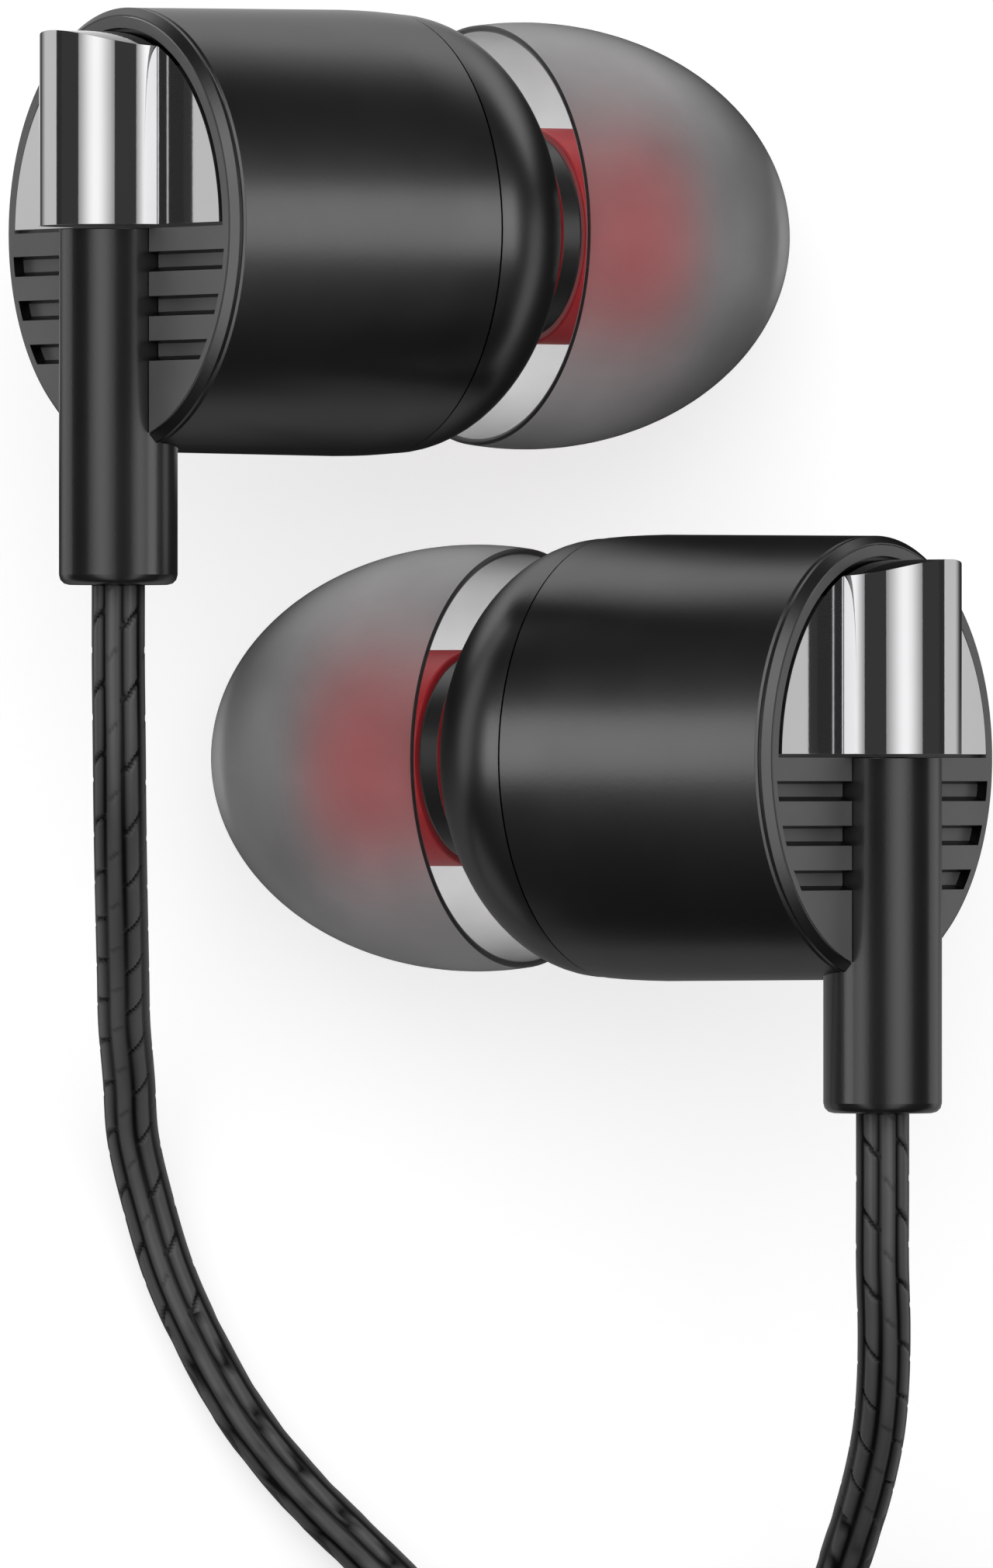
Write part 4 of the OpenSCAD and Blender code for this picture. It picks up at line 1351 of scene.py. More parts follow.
@dataclass(frozen=True)
class Cord:
    """One free cord: a lead, its coil and a tail, as one ribbed tube.

    Attributes:
        name: The piece's name.
        part: Start of the names of the CAD nodes that it stands for.
        diameter: Its diameter in millimetres.
        length: Its real length in metres.
        start: Where it leaves the object, in millimetres.
        out: How far it runs straight out of its start.
        lead: Points of the free stretch before the coil.
        coil: The coil.
        tail: Points of the free stretch after the coil.
        end: Where it ends, in millimetres.
        seat: How far it runs straight into its end.
        run_in: How far it runs straight into the coil.
        run_out: How far it runs straight out of the coil.
        mirror: True where the ribs' pattern is mirrored.
        fine: Ring spacing along the stretch in view, in millimetres.
        coarse: Ring spacing along the rest.
        fine_len: Length of the stretch with the fine spacing.
        sides: Faces round the cord.
        ribs: Number of its lengthwise ribs.
        rib_turn: Angle by which the ribs are turned about it, in degrees.
        rib_depth: Depth of the grooves between them, as a share of its radius.
        notch_pitch: Distance from one notch of a rib to the next, in diameters.
        notch_depth: Depth of a notch, as a share of its radius.
        notch_slope: How far a notch slants, in diameters for each radian round the cord.
        notch_half: Least half width of a notch, in diameters.
        notch_soft: Depth of the notches of every second rib, as a share of the others'.
        shade: How fast the painted shade in the grooves and notches deepens with their depth.
    """

    name: str
    part: str
    diameter: float
    length: float
    start: Point
    out: float
    lead: tuple[Point, ...]
    coil: Coil
    tail: tuple[Point, ...]
    end: Point
    seat: float = 0.7
    run_in: float = 1.4
    run_out: float = 0.7
    mirror: bool = False
    fine: float = 0.04
    coarse: float = 0.42
    fine_len: float = 0.0
    sides: int = 56
    ribs: int = 8
    rib_turn: float = 13.0
    rib_depth: float = 0.16
    notch_pitch: float = 1.27
    notch_depth: float = 0.15
    notch_slope: float = -1.1
    notch_half: float = 0.07
    notch_soft: float = 0.25
    shade: float = 1.8

    def control(self) -> list[Vector]:
        """All the points that the cord passes through, in order.

        Returns:
            The points, in millimetres.
        """
        coil = self.coil.line(self.diameter)
        start, end = Vector(self.start), Vector(self.end)
        down = Vector((0, -1, 0))
        into = (coil[1] - coil[0]).normalized()
        away = (coil[-1] - coil[-2]).normalized()
        before = [start, start + down * self.out, *map(Vector, self.lead)]
        after = [*map(Vector, self.tail), end - down * self.seat, end]
        run_in, run_out = coil[0] - into * self.run_in, coil[-1] + away * self.run_out
        return [*before, run_in, *coil, run_out, *after]

    def path(self) -> list[Vector]:
        """The smooth line of the cord, resampled finely in view and coarsely out of it.

        Returns:
            The points, in millimetres.
        """
        knots = self.control()
        line: list[Vector] = []
        for i in range(len(knots) - 1):
            a, b = knots[i], knots[i + 1]
            before = knots[i - 1] if i else a * 2 - b
            after = knots[i + 2] if i + 2 < len(knots) else b * 2 - a
            span = (b - a).length
            tangent_a = self.tangent(before, a, b) * span
            tangent_b = self.tangent(a, b, after) * span
            parts = max(2, math.ceil(span / self.fine))
            for k in range(parts):
                t = k / parts
                line.append(
                    a * (2 * t**3 - 3 * t**2 + 1)
                    + tangent_a * (t**3 - 2 * t**2 + t)
                    + b * (3 * t**2 - 2 * t**3)
                    + tangent_b * (t**3 - t**2)
                )
        line.append(knots[-1])
        return self.spaced(line)

    @staticmethod
    def tangent(before: Vector, here: Vector, after: Vector) -> Vector:
        """The curve's direction at a point, from the spans on its two sides.

        Args:
            before: The point before it.
            here: The point.
            after: The point after it.

        Returns:
            The direction.
        """
        back, ahead = (here - before), (after - here)
        return (back.normalized() * ahead.length + ahead.normalized() * back.length) / (
            back.length + ahead.length
        )

    def spaced(self, line: list[Vector]) -> list[Vector]:
        """The line again with rings at the fine, then the coarse spacing.

        Args:
            line: Close points along it.

        Returns:
            The middles of the rings.
        """
        kept, walked, due = [line[0]], 0.0, self.fine
        for a, b in zip(line, line[1:]):
            span = (b - a).length
            while span and walked + span >= due:
                kept.append(a.lerp(b, (due - walked) / span))
                due += self.fine if due < self.fine_len else self.coarse
            walked += span
        if (kept[-1] - line[-1]).length < self.fine / 2:
            kept.pop()
        return [*kept, line[-1]]

    def relief(self, angle: float, along: float) -> float:
        """How deep the surface lies below the cord's radius, as a share of it.

        Args:
            angle: Angle round the cord, 0 at the top, in degrees.
            along: Distance along the cord, in diameters.

        Returns:
            The depth: the groove between two ribs or a slanting notch across one.
        """
        if self.mirror:
            angle = -angle
        width = 360 / self.ribs
        position = (angle + self.rib_turn) / width
        rib = round(position)
        off = abs(position - rib) * 2
        groove = self.rib_depth * off**3
        slant = self.notch_slope * math.radians((position - rib) * width) / 2
        cell = (along - slant) / self.notch_pitch + (0.5 if rib % 2 else 0)
        away = abs(cell - round(cell)) * self.notch_pitch
        notch = self.notch_depth * max(0.0, 1 - (away / self.notch_width(along)) ** 2)
        notch *= 1.0 if rib % 2 else self.notch_soft
        return max(groove, notch)

    def notch_width(self, along: float) -> float:
        """Half the width of a notch in diameters: finer where the rings are fine."""
        spacing = self.fine if along * self.diameter < self.fine_len else self.coarse
        return max(self.notch_half, 0.9 * spacing / self.diameter)

    def build(
        self, wardrobe: Wardrobe, far_end: str, with_pieces: list[bpy.types.Object]
    ) -> None:
        """Args:
            wardrobe: Where the finishes come from.
            far_end: What its far end is; not used.
            with_pieces: The separate pieces on it; not used.
        """
        path = self.path()
        up = Vector((0, 0, 1))
        points, depths, along = [], [], 0.0
        for i, p in enumerate(path):
            before, after = path[max(i - 1, 0)], path[min(i + 1, len(path) - 1)]
            heading = (after - before).normalized()
            across = heading.cross(up).normalized()
            over = across.cross(heading)
            along += (p - before).length if i else 0.0
            for k in range(self.sides):
                angle = 360 * k / self.sides - 180
                depth = self.relief(angle, along / self.diameter)
                radius = self.diameter / 2 * (1 - depth)
                turn = math.radians(angle)
                outward = over * math.cos(turn) - across * math.sin(turn)
                points.append((p + outward * radius) * MM)
                # Painted shade: the deeper the groove or notch, the darker it is painted.
                depths.append(min(1.0, depth / self.notch_depth * self.shade))
        mesh = bpy.data.meshes.new(self.name)
        sides, last = self.sides, len(path) - 1
        faces = [
            (i + k, i + (k + 1) % sides, i + sides + (k + 1) % sides, i + sides + k)
            for i in range(0, last * sides, sides)
            for k in range(sides)
        ]
        faces.append(tuple(range(sides))[::-1])
        faces.append(tuple(range(last * sides, (last + 1) * sides)))
        mesh.from_pydata(points, [], faces)
        groove = mesh.attributes.new("groove", "FLOAT", "POINT")
        groove.data.foreach_set("value", depths)
        piece = bpy.data.objects.new(self.name, mesh)
        bpy.context.scene.collection.objects.link(piece)
        checked = bmesh.new()
        checked.from_mesh(mesh)
        bmesh.ops.recalc_face_normals(checked, faces=checked.faces)
        checked.to_mesh(mesh)
        checked.free()
        mesh.shade_smooth()
        stretches = [f"{self.part}_{stretch}" for stretch in ("lead", "coil", "tail")]
        wardrobe.dress(piece, CORD_BLACK, "cord_black", stretches)


# The points that the free stretches pass through, in millimetres.
LEFT_LEAD = (
    (-10.6, -5.0, 13.2), (-10.6, -6.9, 12.2), (-10.6, -8.6, 10.7), (-10.6, -10.1, 8.9),
    (-10.6, -11.6, 6.9), (-10.6, -13.0, 5.0), (-10.5, -14.6, 3.2), (-10.4, -16.3, 1.9),
    (-10.0, -18.1, 1.1), (-9.4, -20.1, 0.8), (-8.5, -22.1, 0.75), (-7.3, -24.2, 0.75),
    (-5.7, -26.2, 0.75), (-3.9, -28.0, 0.8), (-2.3, -29.6, 1.0),
)
LEFT_TAIL = (
    (3.9, -42.2, 6.9), (3.95, -43.4, 6.2), (4.0, -44.4, 5.1), (4.05, -45.2, 3.9), (4.1, -46.1, 2.8)
)
RIGHT_LEAD = (
    (10.62, -19.6, 13.2), (10.68, -21.3, 12.3), (10.68, -22.8, 11.0), (10.6, -24.2, 9.4),
    (10.4, -25.5, 7.7), (10.1, -26.8, 6.0), (9.7, -28.2, 4.4), (9.3, -29.7, 3.0),
    (8.8, -31.3, 2.0), (8.3, -32.9, 1.4),
)
RIGHT_TAIL = (
    (6.25, -42.9, 6.8), (6.1, -43.9, 6.0), (6.0, -44.7, 4.9), (5.9, -45.4, 3.7), (5.8, -46.2, 2.7)
)
MAIN_LEAD = ((5.3, -60.5, 2.1), (6.2, -61.9, 1.8))
MAIN_TAIL = (
    (8.7, -62.8, 8.8), (10.8, -63.2, 8.6), (12.9, -63.6, 8.1), (14.9, -64.1, 7.3),
    (16.8, -64.8, 6.4), (18.5, -65.8, 5.4), (19.9, -67.2, 4.4), (20.9, -68.8, 3.5),
    (21.4, -70.4, 3.0),
)


@dataclass
class Cabling:
    """The branch cords, the splitter, the main cord, its plug and the coils' ties.

    Attributes:
        branch_d: Diameter of a branch cord.
        main_d: Diameter of the main cord.
        branch_len: Real length of a branch cord, in metres.
        main_len: Real length of the main cord, in metres.
        turn_gap: Clear gap between neighbouring turns.
        tie_t: Thickness of a tie.
        tie_w: Width of a tie.
        tie_gap: Gap between a tie and the turns.
        splitter_place: The splitter's upper end.
        splitter_len: Length of the splitter.
        splitter_r: Radius of the splitter.
        branch_pitch: Distance between the branches at the splitter.
        plug_place: The plug's back end.
        relief_len: Length of the plug's strain relief.
        grip_len: Length of its grip.
        grip_r: Radius of the grip.
        pin_r: Radius of the pin.
        sleeve_len: Length of the sleeve contact.
        ring_len: Length of the ring contact.
        insulator_len: Length of one insulating ring.
        tip_len: Length of the tip contact.
    """

    branch_d: float = 1.5
    main_d: float = 2.0
    branch_len: float = 0.35
    main_len: float = 0.85
    turn_gap: float = 0.44
    tie_t: float = 0.4
    tie_w: float = 3.0
    tie_gap: float = 0.1
    splitter_place: Point = (4.95, -48.2, 2.3)
    splitter_len: float = 10.0
    splitter_r: float = 2.3
    branch_pitch: float = 1.7
    plug_place: Point = (21.6, -73.2, 2.75)
    relief_len: float = 6.0
    grip_len: float = 15.0
    grip_r: float = 2.75
    pin_r: float = 1.75
    sleeve_len: float = 8.0
    ring_len: float = 1.9
    insulator_len: float = 0.6
    tip_len: float = 2.9

    def __post_init__(self) -> None:
        """Works out the coils and the places along the plug."""
        branch_step, main_step = self.branch_d + self.turn_gap, self.main_d + self.turn_gap
        self.left_coil, self.right_coil, self.main_coil = (
            Coil(centre, mean_r, step, turns, start=start, way=way)
            for centre, mean_r, step, turns, start, way in (
                ((-5.3, -39.5), 7.7, branch_step, 6 + 48 / 360, 48, -1),
                ((16.0, -40.4), 8.2, branch_step, 6 + 17 / 360, 163, 1),
                ((2.1, -76.4), 10.9, main_step, 11 + 340 / 360, 60, -1),
            )
        )
        self.grip_end = self.relief_len + self.grip_len
        self.sleeve_end = self.grip_end + self.sleeve_len
        self.ring_start = self.sleeve_end + self.insulator_len
        self.ring_end = self.ring_start + self.ring_len
        self.tip_start = self.ring_end + self.insulator_len
        self.pin_end = self.tip_start + self.tip_len

    def seat(self, offset: float) -> Point:
        """A place on the splitter's upper face."""
        x, y, z = self.splitter_place
        return (x + offset, y, z)

    def along_minus_y(self, piece: bpy.types.Object, place: Point) -> None:
        """Lays a piece that was turned about Z along -Y from a place, in metres."""
        turn = Matrix.Rotation(math.pi / 2, 4, "X")
        piece.data.transform(Matrix.Scale(MM, 4) @ Matrix.Translation(place) @ turn)

    def splitter(self, wardrobe: Wardrobe) -> bpy.types.Object:
        """The moulded splitter, tapered towards the main cord.

        Args:
            wardrobe: Where the finishes come from.

        Returns:
            The splitter.
        """
        neck = self.main_d / 2 + 0.4
        profile = [
            (self.splitter_r - 0.35, 0),
            (self.splitter_r - 0.1, 0.2),
            (self.splitter_r, 0.5),
            (self.splitter_r, self.splitter_len * 0.45),
            (self.splitter_r - 0.25, self.splitter_len * 0.7),
            (neck + 0.15, self.splitter_len - 0.6),
            (neck, self.splitter_len),
        ]
        piece = turned("splitter_look", profile, hollow=False)
        soften(piece, 0.12, segments=3, angle=25)
        self.along_minus_y(piece, self.splitter_place)
        return wardrobe.dress(piece, MOULDED_BLACK, "cord_black", ["splitter"])

    def relief_profile(self) -> Profile:
        """The plug's strain relief: four ribs with grooves down to its core between them.

        Returns:
            The profile.
        """
        thin, thick, core = self.main_d / 2 + 0.35, self.grip_r - 0.6, self.main_d / 2 + 0.15
        step = self.relief_len / 4.5
        profile: Profile = [(thin, 0)]
        for rib in range(1, 5):
            start, end = (rib * step + way * step / 4 for way in (-1, 1))
            outer = [thin + (thick - thin) * at / self.relief_len for at in (start, end)]
            profile += [(outer[0], start), (core, start), (core, end), (outer[1], end)]
        return [*profile, (thick, self.relief_len)]

    def plug(self, wardrobe: Wardrobe) -> list[bpy.types.Object]:
        """The plug's pieces, from the strain relief to the tip contact.

        Args:
            wardrobe: Where the finishes come from.

        Returns:
            The pieces.
        """
        start, waist, pin_r = self.relief_len, self.grip_r - 0.3, self.pin_r
        grip = [
            (self.grip_r - 0.4, start),
            (self.grip_r, start + 0.5),
            (self.grip_r, start + self.grip_len * 0.2),
            (waist, start + self.grip_len * 0.35),
            (waist, start + self.grip_len * 0.7),
            (self.grip_r, start + self.grip_len * 0.85),
            (self.grip_r, self.grip_end - 0.5),
            (self.grip_r - 0.5, self.grip_end),
        ]
        tip = [
            (pin_r - 0.35, self.tip_start),
            (pin_r - 0.45, self.tip_start + 0.6),
            (pin_r - 0.05, self.tip_start + 1.3),
            (pin_r - 0.6, self.pin_end - 0.5),
            (pin_r - 1.15, self.pin_end),
        ]
        sleeve = [(pin_r, self.grip_end), (pin_r, self.sleeve_end)]
        middle = [(pin_r, self.ring_start), (pin_r, self.ring_end)]
        rubber, metal = (MOULDED_BLACK, "cord_black"), (GOLD, "plug_gold")
        # Each piece's node, profile, sides, rounding (width, segments and angle) and look.
        plan = (
            ("plug_relief", self.relief_profile(), 64, (0.08,), rubber),
            ("plug_grip", grip, TURN_SIDES, (0.3, 4, 6), rubber),
            ("plug_sleeve", sleeve, TURN_SIDES, (0.04,), metal),
            ("plug_ring", middle, TURN_SIDES, (0.04,), metal),
            ("plug_tip", tip, TURN_SIDES, (0.04,), metal),
        )
        pieces = []
        for node, profile, sides, rounding, look in plan:
            piece = turned(f"{node}_look", profile, hollow=False, sides=sides)
            soften(piece, *rounding)
            self.along_minus_y(piece, self.plug_place)
            pieces.append(wardrobe.dress(piece, *look, [node]))
        wardrobe.recolour("plug_insulators", INSULATOR)
        return [*pieces, bpy.data.objects["plug_insulators"]]

    def tie(self, coil: Coil, diameter: float, angle: float) -> bpy.types.Object:
        """One band round a coil's bundle.

        Args:
            coil: The coil.
            diameter: The cord's diameter.
            angle: Where it sits round the coil, in degrees.

        Returns:
            The band, in millimetres.
        """
        half = coil.step * coil.turns / coil.layers / 2 + diameter / 2 + self.tie_gap
        height = coil.step * (coil.layers - 1) + diameter + 2 * self.tie_gap
        width = self.tie_w / 2
        band = block("band", (-half, -width, -height / 2), (half, width, height / 2))
        pick_edges(band, lambda a, b: abs(a.y - b.y) > width)
        bpy.ops.mesh.bevel(offset=diameter / 2, segments=6, profile=0.5)
        bpy.ops.mesh.select_mode(type="FACE")
        bpy.ops.mesh.select_all(action="DESELECT")
        bpy.ops.object.mode_set(mode="OBJECT")
        for face in band.data.polygons:
            face.select = abs(face.normal.y) > 0.9
        bpy.ops.object.mode_set(mode="EDIT")
        bpy.ops.mesh.delete(type="FACE")
        bpy.ops.mesh.select_mode(type="VERT")
        take(band)
        wall = band.modifiers.new("wall", "SOLIDIFY")
        wall.thickness, wall.offset, wall.use_even_offset = self.tie_t, 1, True
        bpy.ops.object.modifier_apply(modifier=wall.name)
        band.data.transform(
            Matrix.Translation((*coil.centre, self.tie_t + height / 2))
            @ Matrix.Rotation(math.radians(angle), 4, "Z")
            @ Matrix.Translation((coil.mean_r, 0, 0))
        )
        return band

    def coil_ties(self, wardrobe: Wardrobe) -> bpy.types.Object:
        """All the ties, as one group of bands.

        Args:
            wardrobe: Where the finishes come from.

        Returns:
            The ties.
        """
        bands = [
            self.tie(coil, diameter, angle)
            for coil, diameter, angles in (
                (self.left_coil, self.branch_d, (130, 250)),
                (self.right_coil, self.branch_d, (50, 290)),
                (self.main_coil, self.main_d, (130, 235, 340)),
            )
            for angle in angles
        ]
        deselect()
        for band in bands:
            band.select_set(True)
        ties = bands[0]
        bpy.context.view_layer.objects.active = ties
        bpy.ops.object.join()
        ties.name = ties.data.name = "coil_ties_look"
        soften(ties, 0.06)
        ties.data.transform(Matrix.Scale(MM, 4))
        return wardrobe.dress(ties, TIE_BLACK, "tie_black", ["coil_ties"])

    def build(self, wardrobe: Wardrobe, bud: Earbud) -> None:
        """Makes the cords and all that is on them.

        Args:
            wardrobe: Where the finishes come from.
            bud: The earbuds, whose stems the branches leave.
        """
        splitter = self.splitter(wardrobe)
        plug = self.plug(wardrobe)
        ties = self.coil_ties(wardrobe)
        branches = (
            (Side.LEFT, self.left_coil, LEFT_LEAD, LEFT_TAIL, 26.0),
            (Side.RIGHT, self.right_coil, RIGHT_LEAD, RIGHT_TAIL, 14.0),
        )
        for side, coil, lead, tail, fine_len in branches:
            Cord(
                name=f"{side.value}_branch",
                part=side.value,
                diameter=self.branch_d,
                length=self.branch_len,
                start=tuple(bud.stem_exit(side)),
                out=2.2,
                lead=lead,
                coil=coil,
                tail=tail,
                end=self.seat(side.sign * self.branch_pitch / 2),
                mirror=side is Side.RIGHT,
                fine_len=fine_len,
            ).build(wardrobe, "fitting", [splitter])
        x, y, z = self.splitter_place
        Cord(
            name="main_cord",
            part="main",
            diameter=self.main_d,
            length=self.main_len,
            start=(x, y - self.splitter_len, z),
            out=1.4,
            lead=MAIN_LEAD,
            coil=self.main_coil,
            tail=MAIN_TAIL,
            end=self.plug_place,
            fine=0.4,
            coarse=0.4,
            sides=32,
        ).build(wardrobe, "plug", [*plug, ties])


# ---------------------------------------------------------------- camera, light and floor


@dataclass(frozen=True)
class Patch:
    """A patch of the floor that is bright in reflections.

    Attributes:
        x: Where it starts and ends across, in millimetres.
        y: The same along Y.
        soft: Width of its soft edge.
        glow: Its radiance.
    """

    x: tuple[float, float]
    y: tuple[float, float]
    soft: float
    glow: float


@dataclass(frozen=True)
class Studio:
    """The camera straight above, the floor and the lamps, in millimetres.

    Attributes:
        centre: The point of the surface under the camera.
        sharp_z: Height of the plane that the picture's size is taken at.
        height: Height of the camera above that plane.
        picture_h: Height of the picture in that plane.
        sensor: The camera's sensor width.
        clip: The nearest and farthest that the camera sees, in metres.
        bud_z: Height of the earbuds' axes at their backs.
        box_inner: Distance from the middle and height of a softbox's lower edge.
        box_outer: The same of its upper edge.
        box_y: Where a softbox starts, is brightest and ends along Y.
        box_glow: Its greatest radiance.
        ridge_ends: Its radiance at its two long edges, as a share of that.
        ridge: Places across its width and its radiance there, as shares.
        line_at: Where across its width it is bright in a second reflection, as a share.
        line_half: Half the width of that line.
        line_glow: The line's radiance.
        gap_from: Angles from straight up over which the gap between the softboxes lights up.
        gap_to: Angles over which its light ends.
        gap_glow: The gap's radiance in a second reflection.
        surround_fill: The surround's radiance for matt surfaces.
        surround_dim: Its radiance for all else but the camera.
        overhead_place: The overhead lamp's place, in metres.
        overhead_d: Its diameter, in metres.
        overhead_glow: Its radiance.
        floor_size: Length of the floor's sides, in metres.
        floor_drop: How far it lies below what rests on it.
        patches: Where the floor is bright in reflections.
        floor_dim: The floor's radiance in reflections off the patches.
        floor_albedo: How much light the floor throws back.
        floor_glow: What the floor adds for the camera.
        through_glow: What it adds for light that comes through an ear tip.
        rim_place: Distance to the side, along Y and up of a side lamp, in metres.
        rim_size: Its two sides, in metres.
        rim_glow: Its radiance.
    """

    centre: tuple[float, float] = (-0.11, -6.25)
    sharp_z: float = 13.0
    height: float = 600.0
    picture_h: float = 43.6
    sensor: float = 36.0
    clip: tuple[float, float] = (0.01, 20.0)
    bud_z: float = 13.6
    box_inner: tuple[float, float] = (14.4, 63.6)
    box_outer: tuple[float, float] = (402.0, 245.0)
    box_y: tuple[float, float, float] = (-240.0, 40.0, 400.0)
    box_glow: float = 1.1
    ridge_ends: float = 0.28
    ridge: tuple[tuple[float, float], ...] = (
        (0.16, 0.55), (0.34, 0.88), (0.44, 1.0), (0.56, 1.0), (0.66, 0.88), (0.84, 0.55)
    )
    line_at: float = 0.3
    line_half: float = 0.03
    line_glow: float = 0.5
    gap_from: tuple[float, float] = (math.radians(2.5), math.radians(5.5))
    gap_to: tuple[float, float] = (math.radians(38), math.radians(32))
    gap_glow: float = 1.05
    surround_fill: float = 0.35
    surround_dim: float = 0.04
    overhead_place: Point = (0.0, 0.5, 1.0)
    overhead_d: float = 1.0
    overhead_glow: float = 2.2
    floor_size: float = 6.0
    floor_drop: float = 0.05
    patches: tuple[Patch, ...] = (
        Patch((-80.0, -30.0), (-6.0, 24.0), 12.0, 0.56),
        Patch((30.0, 80.0), (-21.0, 9.0), 12.0, 0.56),
        Patch((-30.0, 30.0), (25.0, 38.0), 10.0, 1.0),
        Patch((-30.0, 30.0), (42.0, 50.0), 26.0, 0.4),
        Patch((-14.0, -2.0), (7.0, 30.0), 6.0, 1.0),
        Patch((-30.0, 30.0), (-34.0, -14.0), 14.0, 0.27),
    )
    floor_dim: float = 0.03
    floor_albedo: float = 0.5
    floor_glow: float = 0.7
    through_glow: float = 1.4
    rim_place: Point = (0.54, 0.05, 0.28)
    rim_size: tuple[float, float] = (0.3, 0.36)
    rim_glow: float = 1.25

    def camera(self) -> None:
        """Makes the camera."""
        data = bpy.data.cameras.new("camera")
        data.sensor_width = self.sensor
        data.lens = self.sensor * self.height / self.picture_h
        data.clip_start, data.clip_end = self.clip
        camera = bpy.data.objects.new("camera", data)
        camera.location = Vector((*self.centre, self.sharp_z + self.height)) * MM
        bpy.context.scene.collection.objects.link(camera)
        bpy.context.scene.camera = camera

    def softbox(self, side: int, glow: bpy.types.Material) -> None:
        """One long slanting softbox beside the earbuds.

        Args:
            side: -1 for the one on the -X side and 1 for the other.
            glow: Its light.
        """
        (x0, z0), (x1, z1) = self.box_inner, self.box_outer
        y0, y1 = self.box_y[0], self.box_y[2]
        deselect()
        bpy.ops.mesh.primitive_plane_add(size=1)
        panel = bpy.context.object
        panel.name = panel.data.name = f"softbox_{side + 1}"
        panel.scale = (math.hypot(x1 - x0, z1 - z0) * MM, (y1 - y0) * MM, 1)
        panel.rotation_euler = (0, -side * math.atan2(z1 - z0, x1 - x0), 0)
        panel.location = Vector((side * (x0 + x1) / 2, (y0 + y1) / 2, (z0 + z1) / 2)) * MM
        settle(panel)
        panel.visible_camera = panel.visible_transmission = panel.visible_shadow = False
        panel.data.materials.append(glow)

    def softbox_glow(self) -> bpy.types.Material:
        """The softboxes' light: a broad ridge across their width that fades along their length.

        Returns:
            The material, which shows only a thin line in a second reflection.
        """
        material, nodes, shader = new_material(
            "softbox_glow",
            Base_Color=(0, 0, 0, 1),
            Specular_IOR_Level=0.0,
            Emission_Color=(1, 1, 1, 1),
        )
        axes = nodes.axes("Object")
        out = nodes.calc("ABSOLUTE", (axes, "X"))
        up = nodes.calc("SUBTRACT", (axes, "Z"), self.bud_z * MM)
        low, high = (math.atan2(x, z - self.bud_z) for x, z in (self.box_inner, self.box_outer))
        across = nodes.fade(nodes.calc("ARCTAN2", out, up), low, high, "LINEAR")
        ridge = nodes.add("ShaderNodeValToRGB")
        stops = ridge.color_ramp.elements
        for stop in stops:
            stop.color = (*(self.ridge_ends,) * 3, 1)
        for position, value in self.ridge:
            stops.new(position).color = (value, value, value, 1)
        nodes.join(across, ridge, "Fac")
        start, middle, end = (y * MM for y in self.box_y)
        ends = [nodes.fade((axes, "Y"), outside, middle) for outside in (start, end)]
        both = nodes.calc("MULTIPLY", ridge, nodes.calc("MINIMUM", *ends))
        line = nodes.calc("COMPARE", across, self.line_at, self.line_half)
        line = nodes.calc("MULTIPLY", line, self.line_glow)
        pick = nodes.add("ShaderNodeMix", data_type="FLOAT")
        nodes.join(nodes.second_reflection(), pick, "Factor")
        nodes.join(nodes.calc("MULTIPLY", both, self.box_glow), pick, "A")
        nodes.join(nodes.calc("MAXIMUM", line, self.floor_dim), pick, "B")
        nodes.join((pick, "Result"), shader, "Emission Strength")
        return material

    def lamp(
        self, name: str, place: Point, size: tuple[float, float], glow: float, disk: bool = False
    ) -> bpy.types.Object:
        """Makes an area lamp that points at the earbuds.

        Args:
            name: The lamp's name.
            place: Its place, in metres.
            size: Its two sides, in metres.
            glow: Its radiance.
            disk: True for a round lamp.

        Returns:
            The lamp.
        """
        data = bpy.data.lights.new(name, "AREA")
        data.shape = "DISK" if disk else "RECTANGLE"
        data.size, data.size_y = size
        data.energy = glow * math.pi * size[0] * size[1] * (math.pi / 4 if disk else 1)
        lamp = bpy.data.objects.new(name, data)
        lamp.location = place
        aim = Vector((0, 0, self.bud_z * MM)) - lamp.location
        lamp.rotation_euler = aim.to_track_quat("-Z", "Y").to_euler()
        bpy.context.scene.collection.objects.link(lamp)
        return lamp

    def overhead(self) -> None:
        """A broad overhead lamp for matt surfaces, left out of the reflections."""
        size = (self.overhead_d, self.overhead_d)
        lamp = self.lamp("overhead", self.overhead_place, size, self.overhead_glow, disk=True)
        lamp.visible_glossy = False

    def rim_lamp(self, side: Side) -> None:
        """A side lamp that lights only one earbud's housing and stem, from across the pair.

        Args:
            side: The earbud that it lights.
        """
        out, along, up = self.rim_place
        place = (-side.sign * out, along, up)
        lamp = self.lamp(f"rim_{side.value}", place, self.rim_size, self.rim_glow)
        lit = bpy.data.collections.new(f"rim_lit_{side.value}")
        for name in ("rear_shell", "front_shell", "nozzle_collar", "stem"):
            lit.objects.link(bpy.data.objects[f"{side.value}_{name}_look"])
        lamp.light_linking.receiver_collection = lit

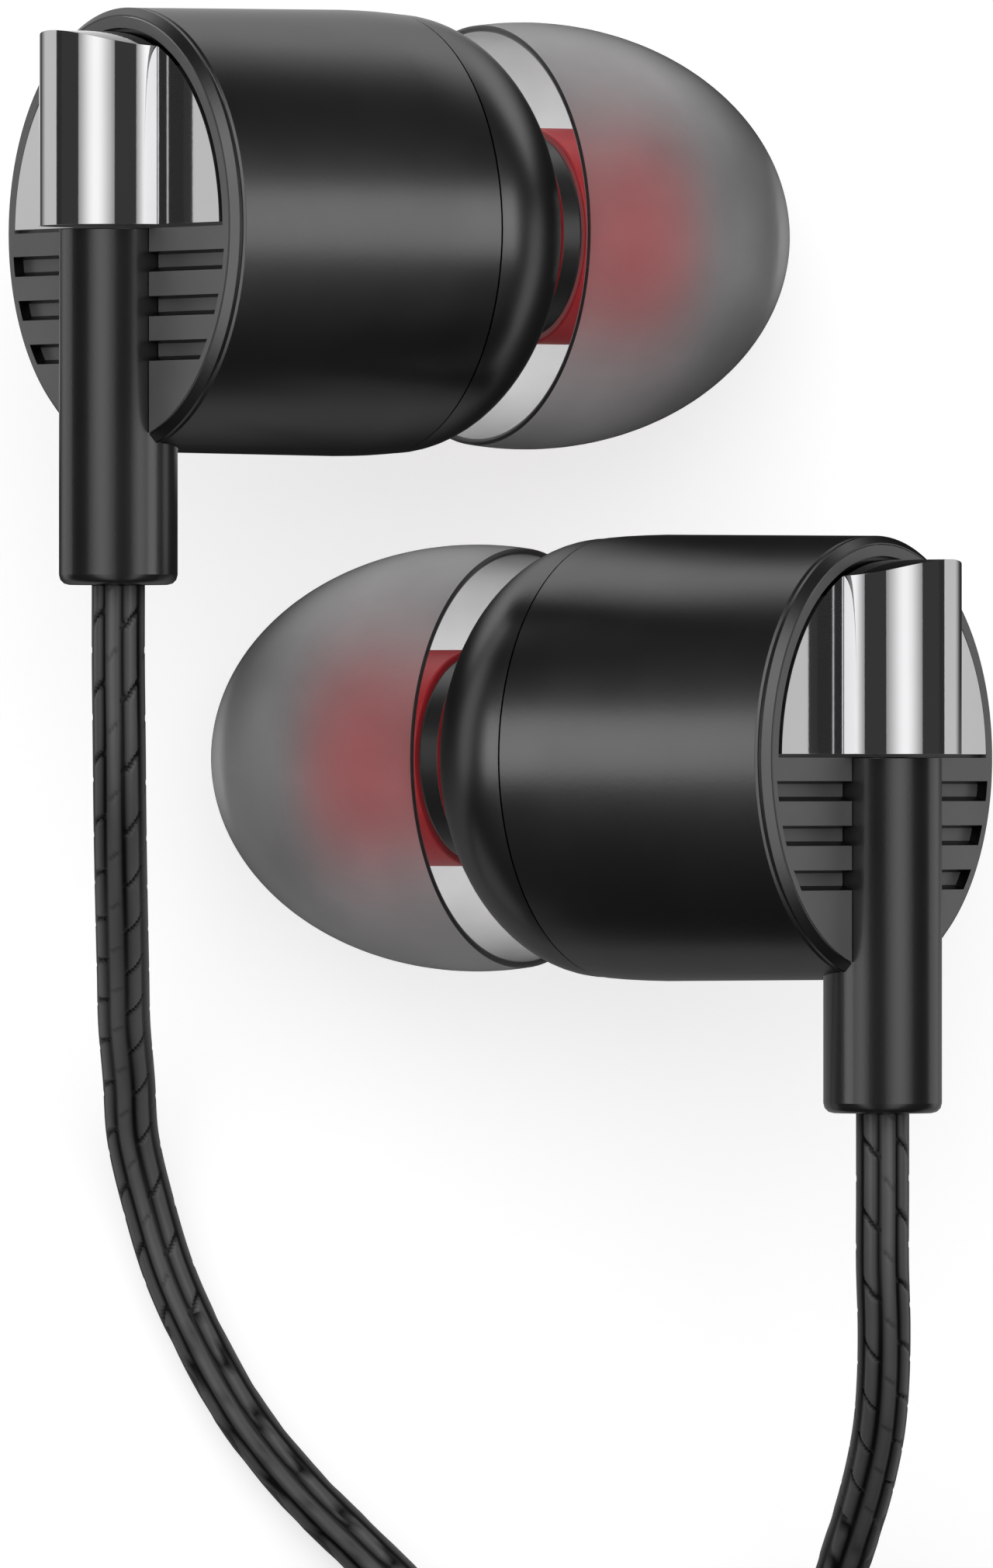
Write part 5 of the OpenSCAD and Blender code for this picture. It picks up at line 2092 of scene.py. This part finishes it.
    def world(self) -> None:
        """A surround: white to the camera, dim to the rest, a gap lit for second reflections."""
        world = bpy.data.worlds.new("surround")
        bpy.context.scene.world = world
        world.use_nodes = True
        nodes = Nodes(world.node_tree)
        rays = nodes.add("ShaderNodeLightPath")
        seen = nodes.calc("MAXIMUM", (rays, "Is Camera Ray"), (rays, "Is Transmission Ray"))
        fill = nodes.calc("MULTIPLY", (rays, "Is Diffuse Ray"), self.surround_fill)
        level = nodes.calc("MAXIMUM", seen, nodes.calc("MAXIMUM", fill, self.surround_dim))
        axes = nodes.axes("Generated")
        angle = nodes.calc("ARCTAN2", nodes.calc("ABSOLUTE", (axes, "X")), (axes, "Z"))
        ends = [nodes.fade(angle, *edge, "LINEAR") for edge in (self.gap_from, self.gap_to)]
        again = nodes.calc("MULTIPLY", nodes.second_reflection(), (rays, "Is Glossy Ray"))
        gap = nodes.calc("MULTIPLY", nodes.calc("MULTIPLY", *ends), again)
        gap = nodes.calc("MULTIPLY", gap, self.gap_glow)
        background = world.node_tree.nodes["Background"]
        nodes.join(nodes.calc("MAXIMUM", level, gap), background, "Strength")
        background.inputs["Color"].default_value = (1, 1, 1, 1)

    def patch(self, nodes: Nodes, axes: bpy.types.Node, patch: Patch) -> bpy.types.Node:
        """The radiance of one bright patch of the floor.

        Args:
            nodes: The floor's nodes.
            axes: The node that gives the place on the floor.
            patch: The patch.

        Returns:
            The node whose output is the patch's radiance, and 0 away from it.
        """
        inside = []
        for axis, (low, high) in (("X", patch.x), ("Y", patch.y)):
            for outside, full in ((low - patch.soft, low), (high + patch.soft, high)):
                inside.append(nodes.fade((axes, axis), outside * MM, full * MM))
        sides = [nodes.calc("MULTIPLY", *pair) for pair in (inside[:2], inside[2:])]
        return nodes.calc("MULTIPLY", nodes.calc("MULTIPLY", *sides), patch.glow)

    def floor(self) -> None:
        """The pale floor: white to the camera, and dark in reflections but for its patches."""
        deselect()
        place = (0, 0, -self.floor_drop * MM)
        bpy.ops.mesh.primitive_plane_add(size=self.floor_size, location=place)
        floor = bpy.context.object
        floor.name = "floor"
        settle(floor)
        material, nodes, shader = new_material(
            "floor", Roughness=0.9, Specular_IOR_Level=0.0, Emission_Color=(1, 1, 1, 1)
        )
        rays = nodes.add("ShaderNodeLightPath")
        bent = nodes.calc("MAXIMUM", (rays, "Is Glossy Ray"), (rays, "Is Transmission Ray"))
        dull = nodes.calc("SUBTRACT", 1.0, bent)
        nodes.join(nodes.calc("MULTIPLY", dull, self.floor_albedo), shader, "Base Color")
        axes = nodes.axes("Object")
        table: Source | float = self.floor_dim
        for patch in self.patches:
            table = nodes.calc("MAXIMUM", self.patch(nodes, axes, patch), table)
        table = nodes.calc("MULTIPLY", (rays, "Is Glossy Ray"), table)
        bright = nodes.calc("MULTIPLY", (rays, "Is Camera Ray"), self.floor_glow)
        through = nodes.calc("MULTIPLY", (rays, "Is Transmission Ray"), self.through_glow)
        glow = nodes.calc("MAXIMUM", nodes.calc("MAXIMUM", bright, through), table)
        nodes.join(glow, shader, "Emission Strength")
        floor.data.materials.append(material)

    def build(self) -> None:
        """Makes the whole studio but for the side lamps, which need the pieces that they light."""
        self.camera()
        self.world()
        glow = self.softbox_glow()
        for side in (-1, 1):
            self.softbox(side, glow)
        self.overhead()
        self.floor()


def main() -> None:
    """Builds the studio, the cords and the earbuds, in that order."""
    logging.basicConfig(level=logging.INFO, format="%(name)s: %(message)s")
    bpy.context.scene.view_settings.view_transform = "Standard"
    studio = Studio()
    studio.build()
    wardrobe = Wardrobe()
    bud = Earbud()
    Cabling().build(wardrobe, bud)
    bud.build(wardrobe)
    for side in Side:
        studio.rim_lamp(side)
    deselect()


if __name__ == "__main__":
    main()
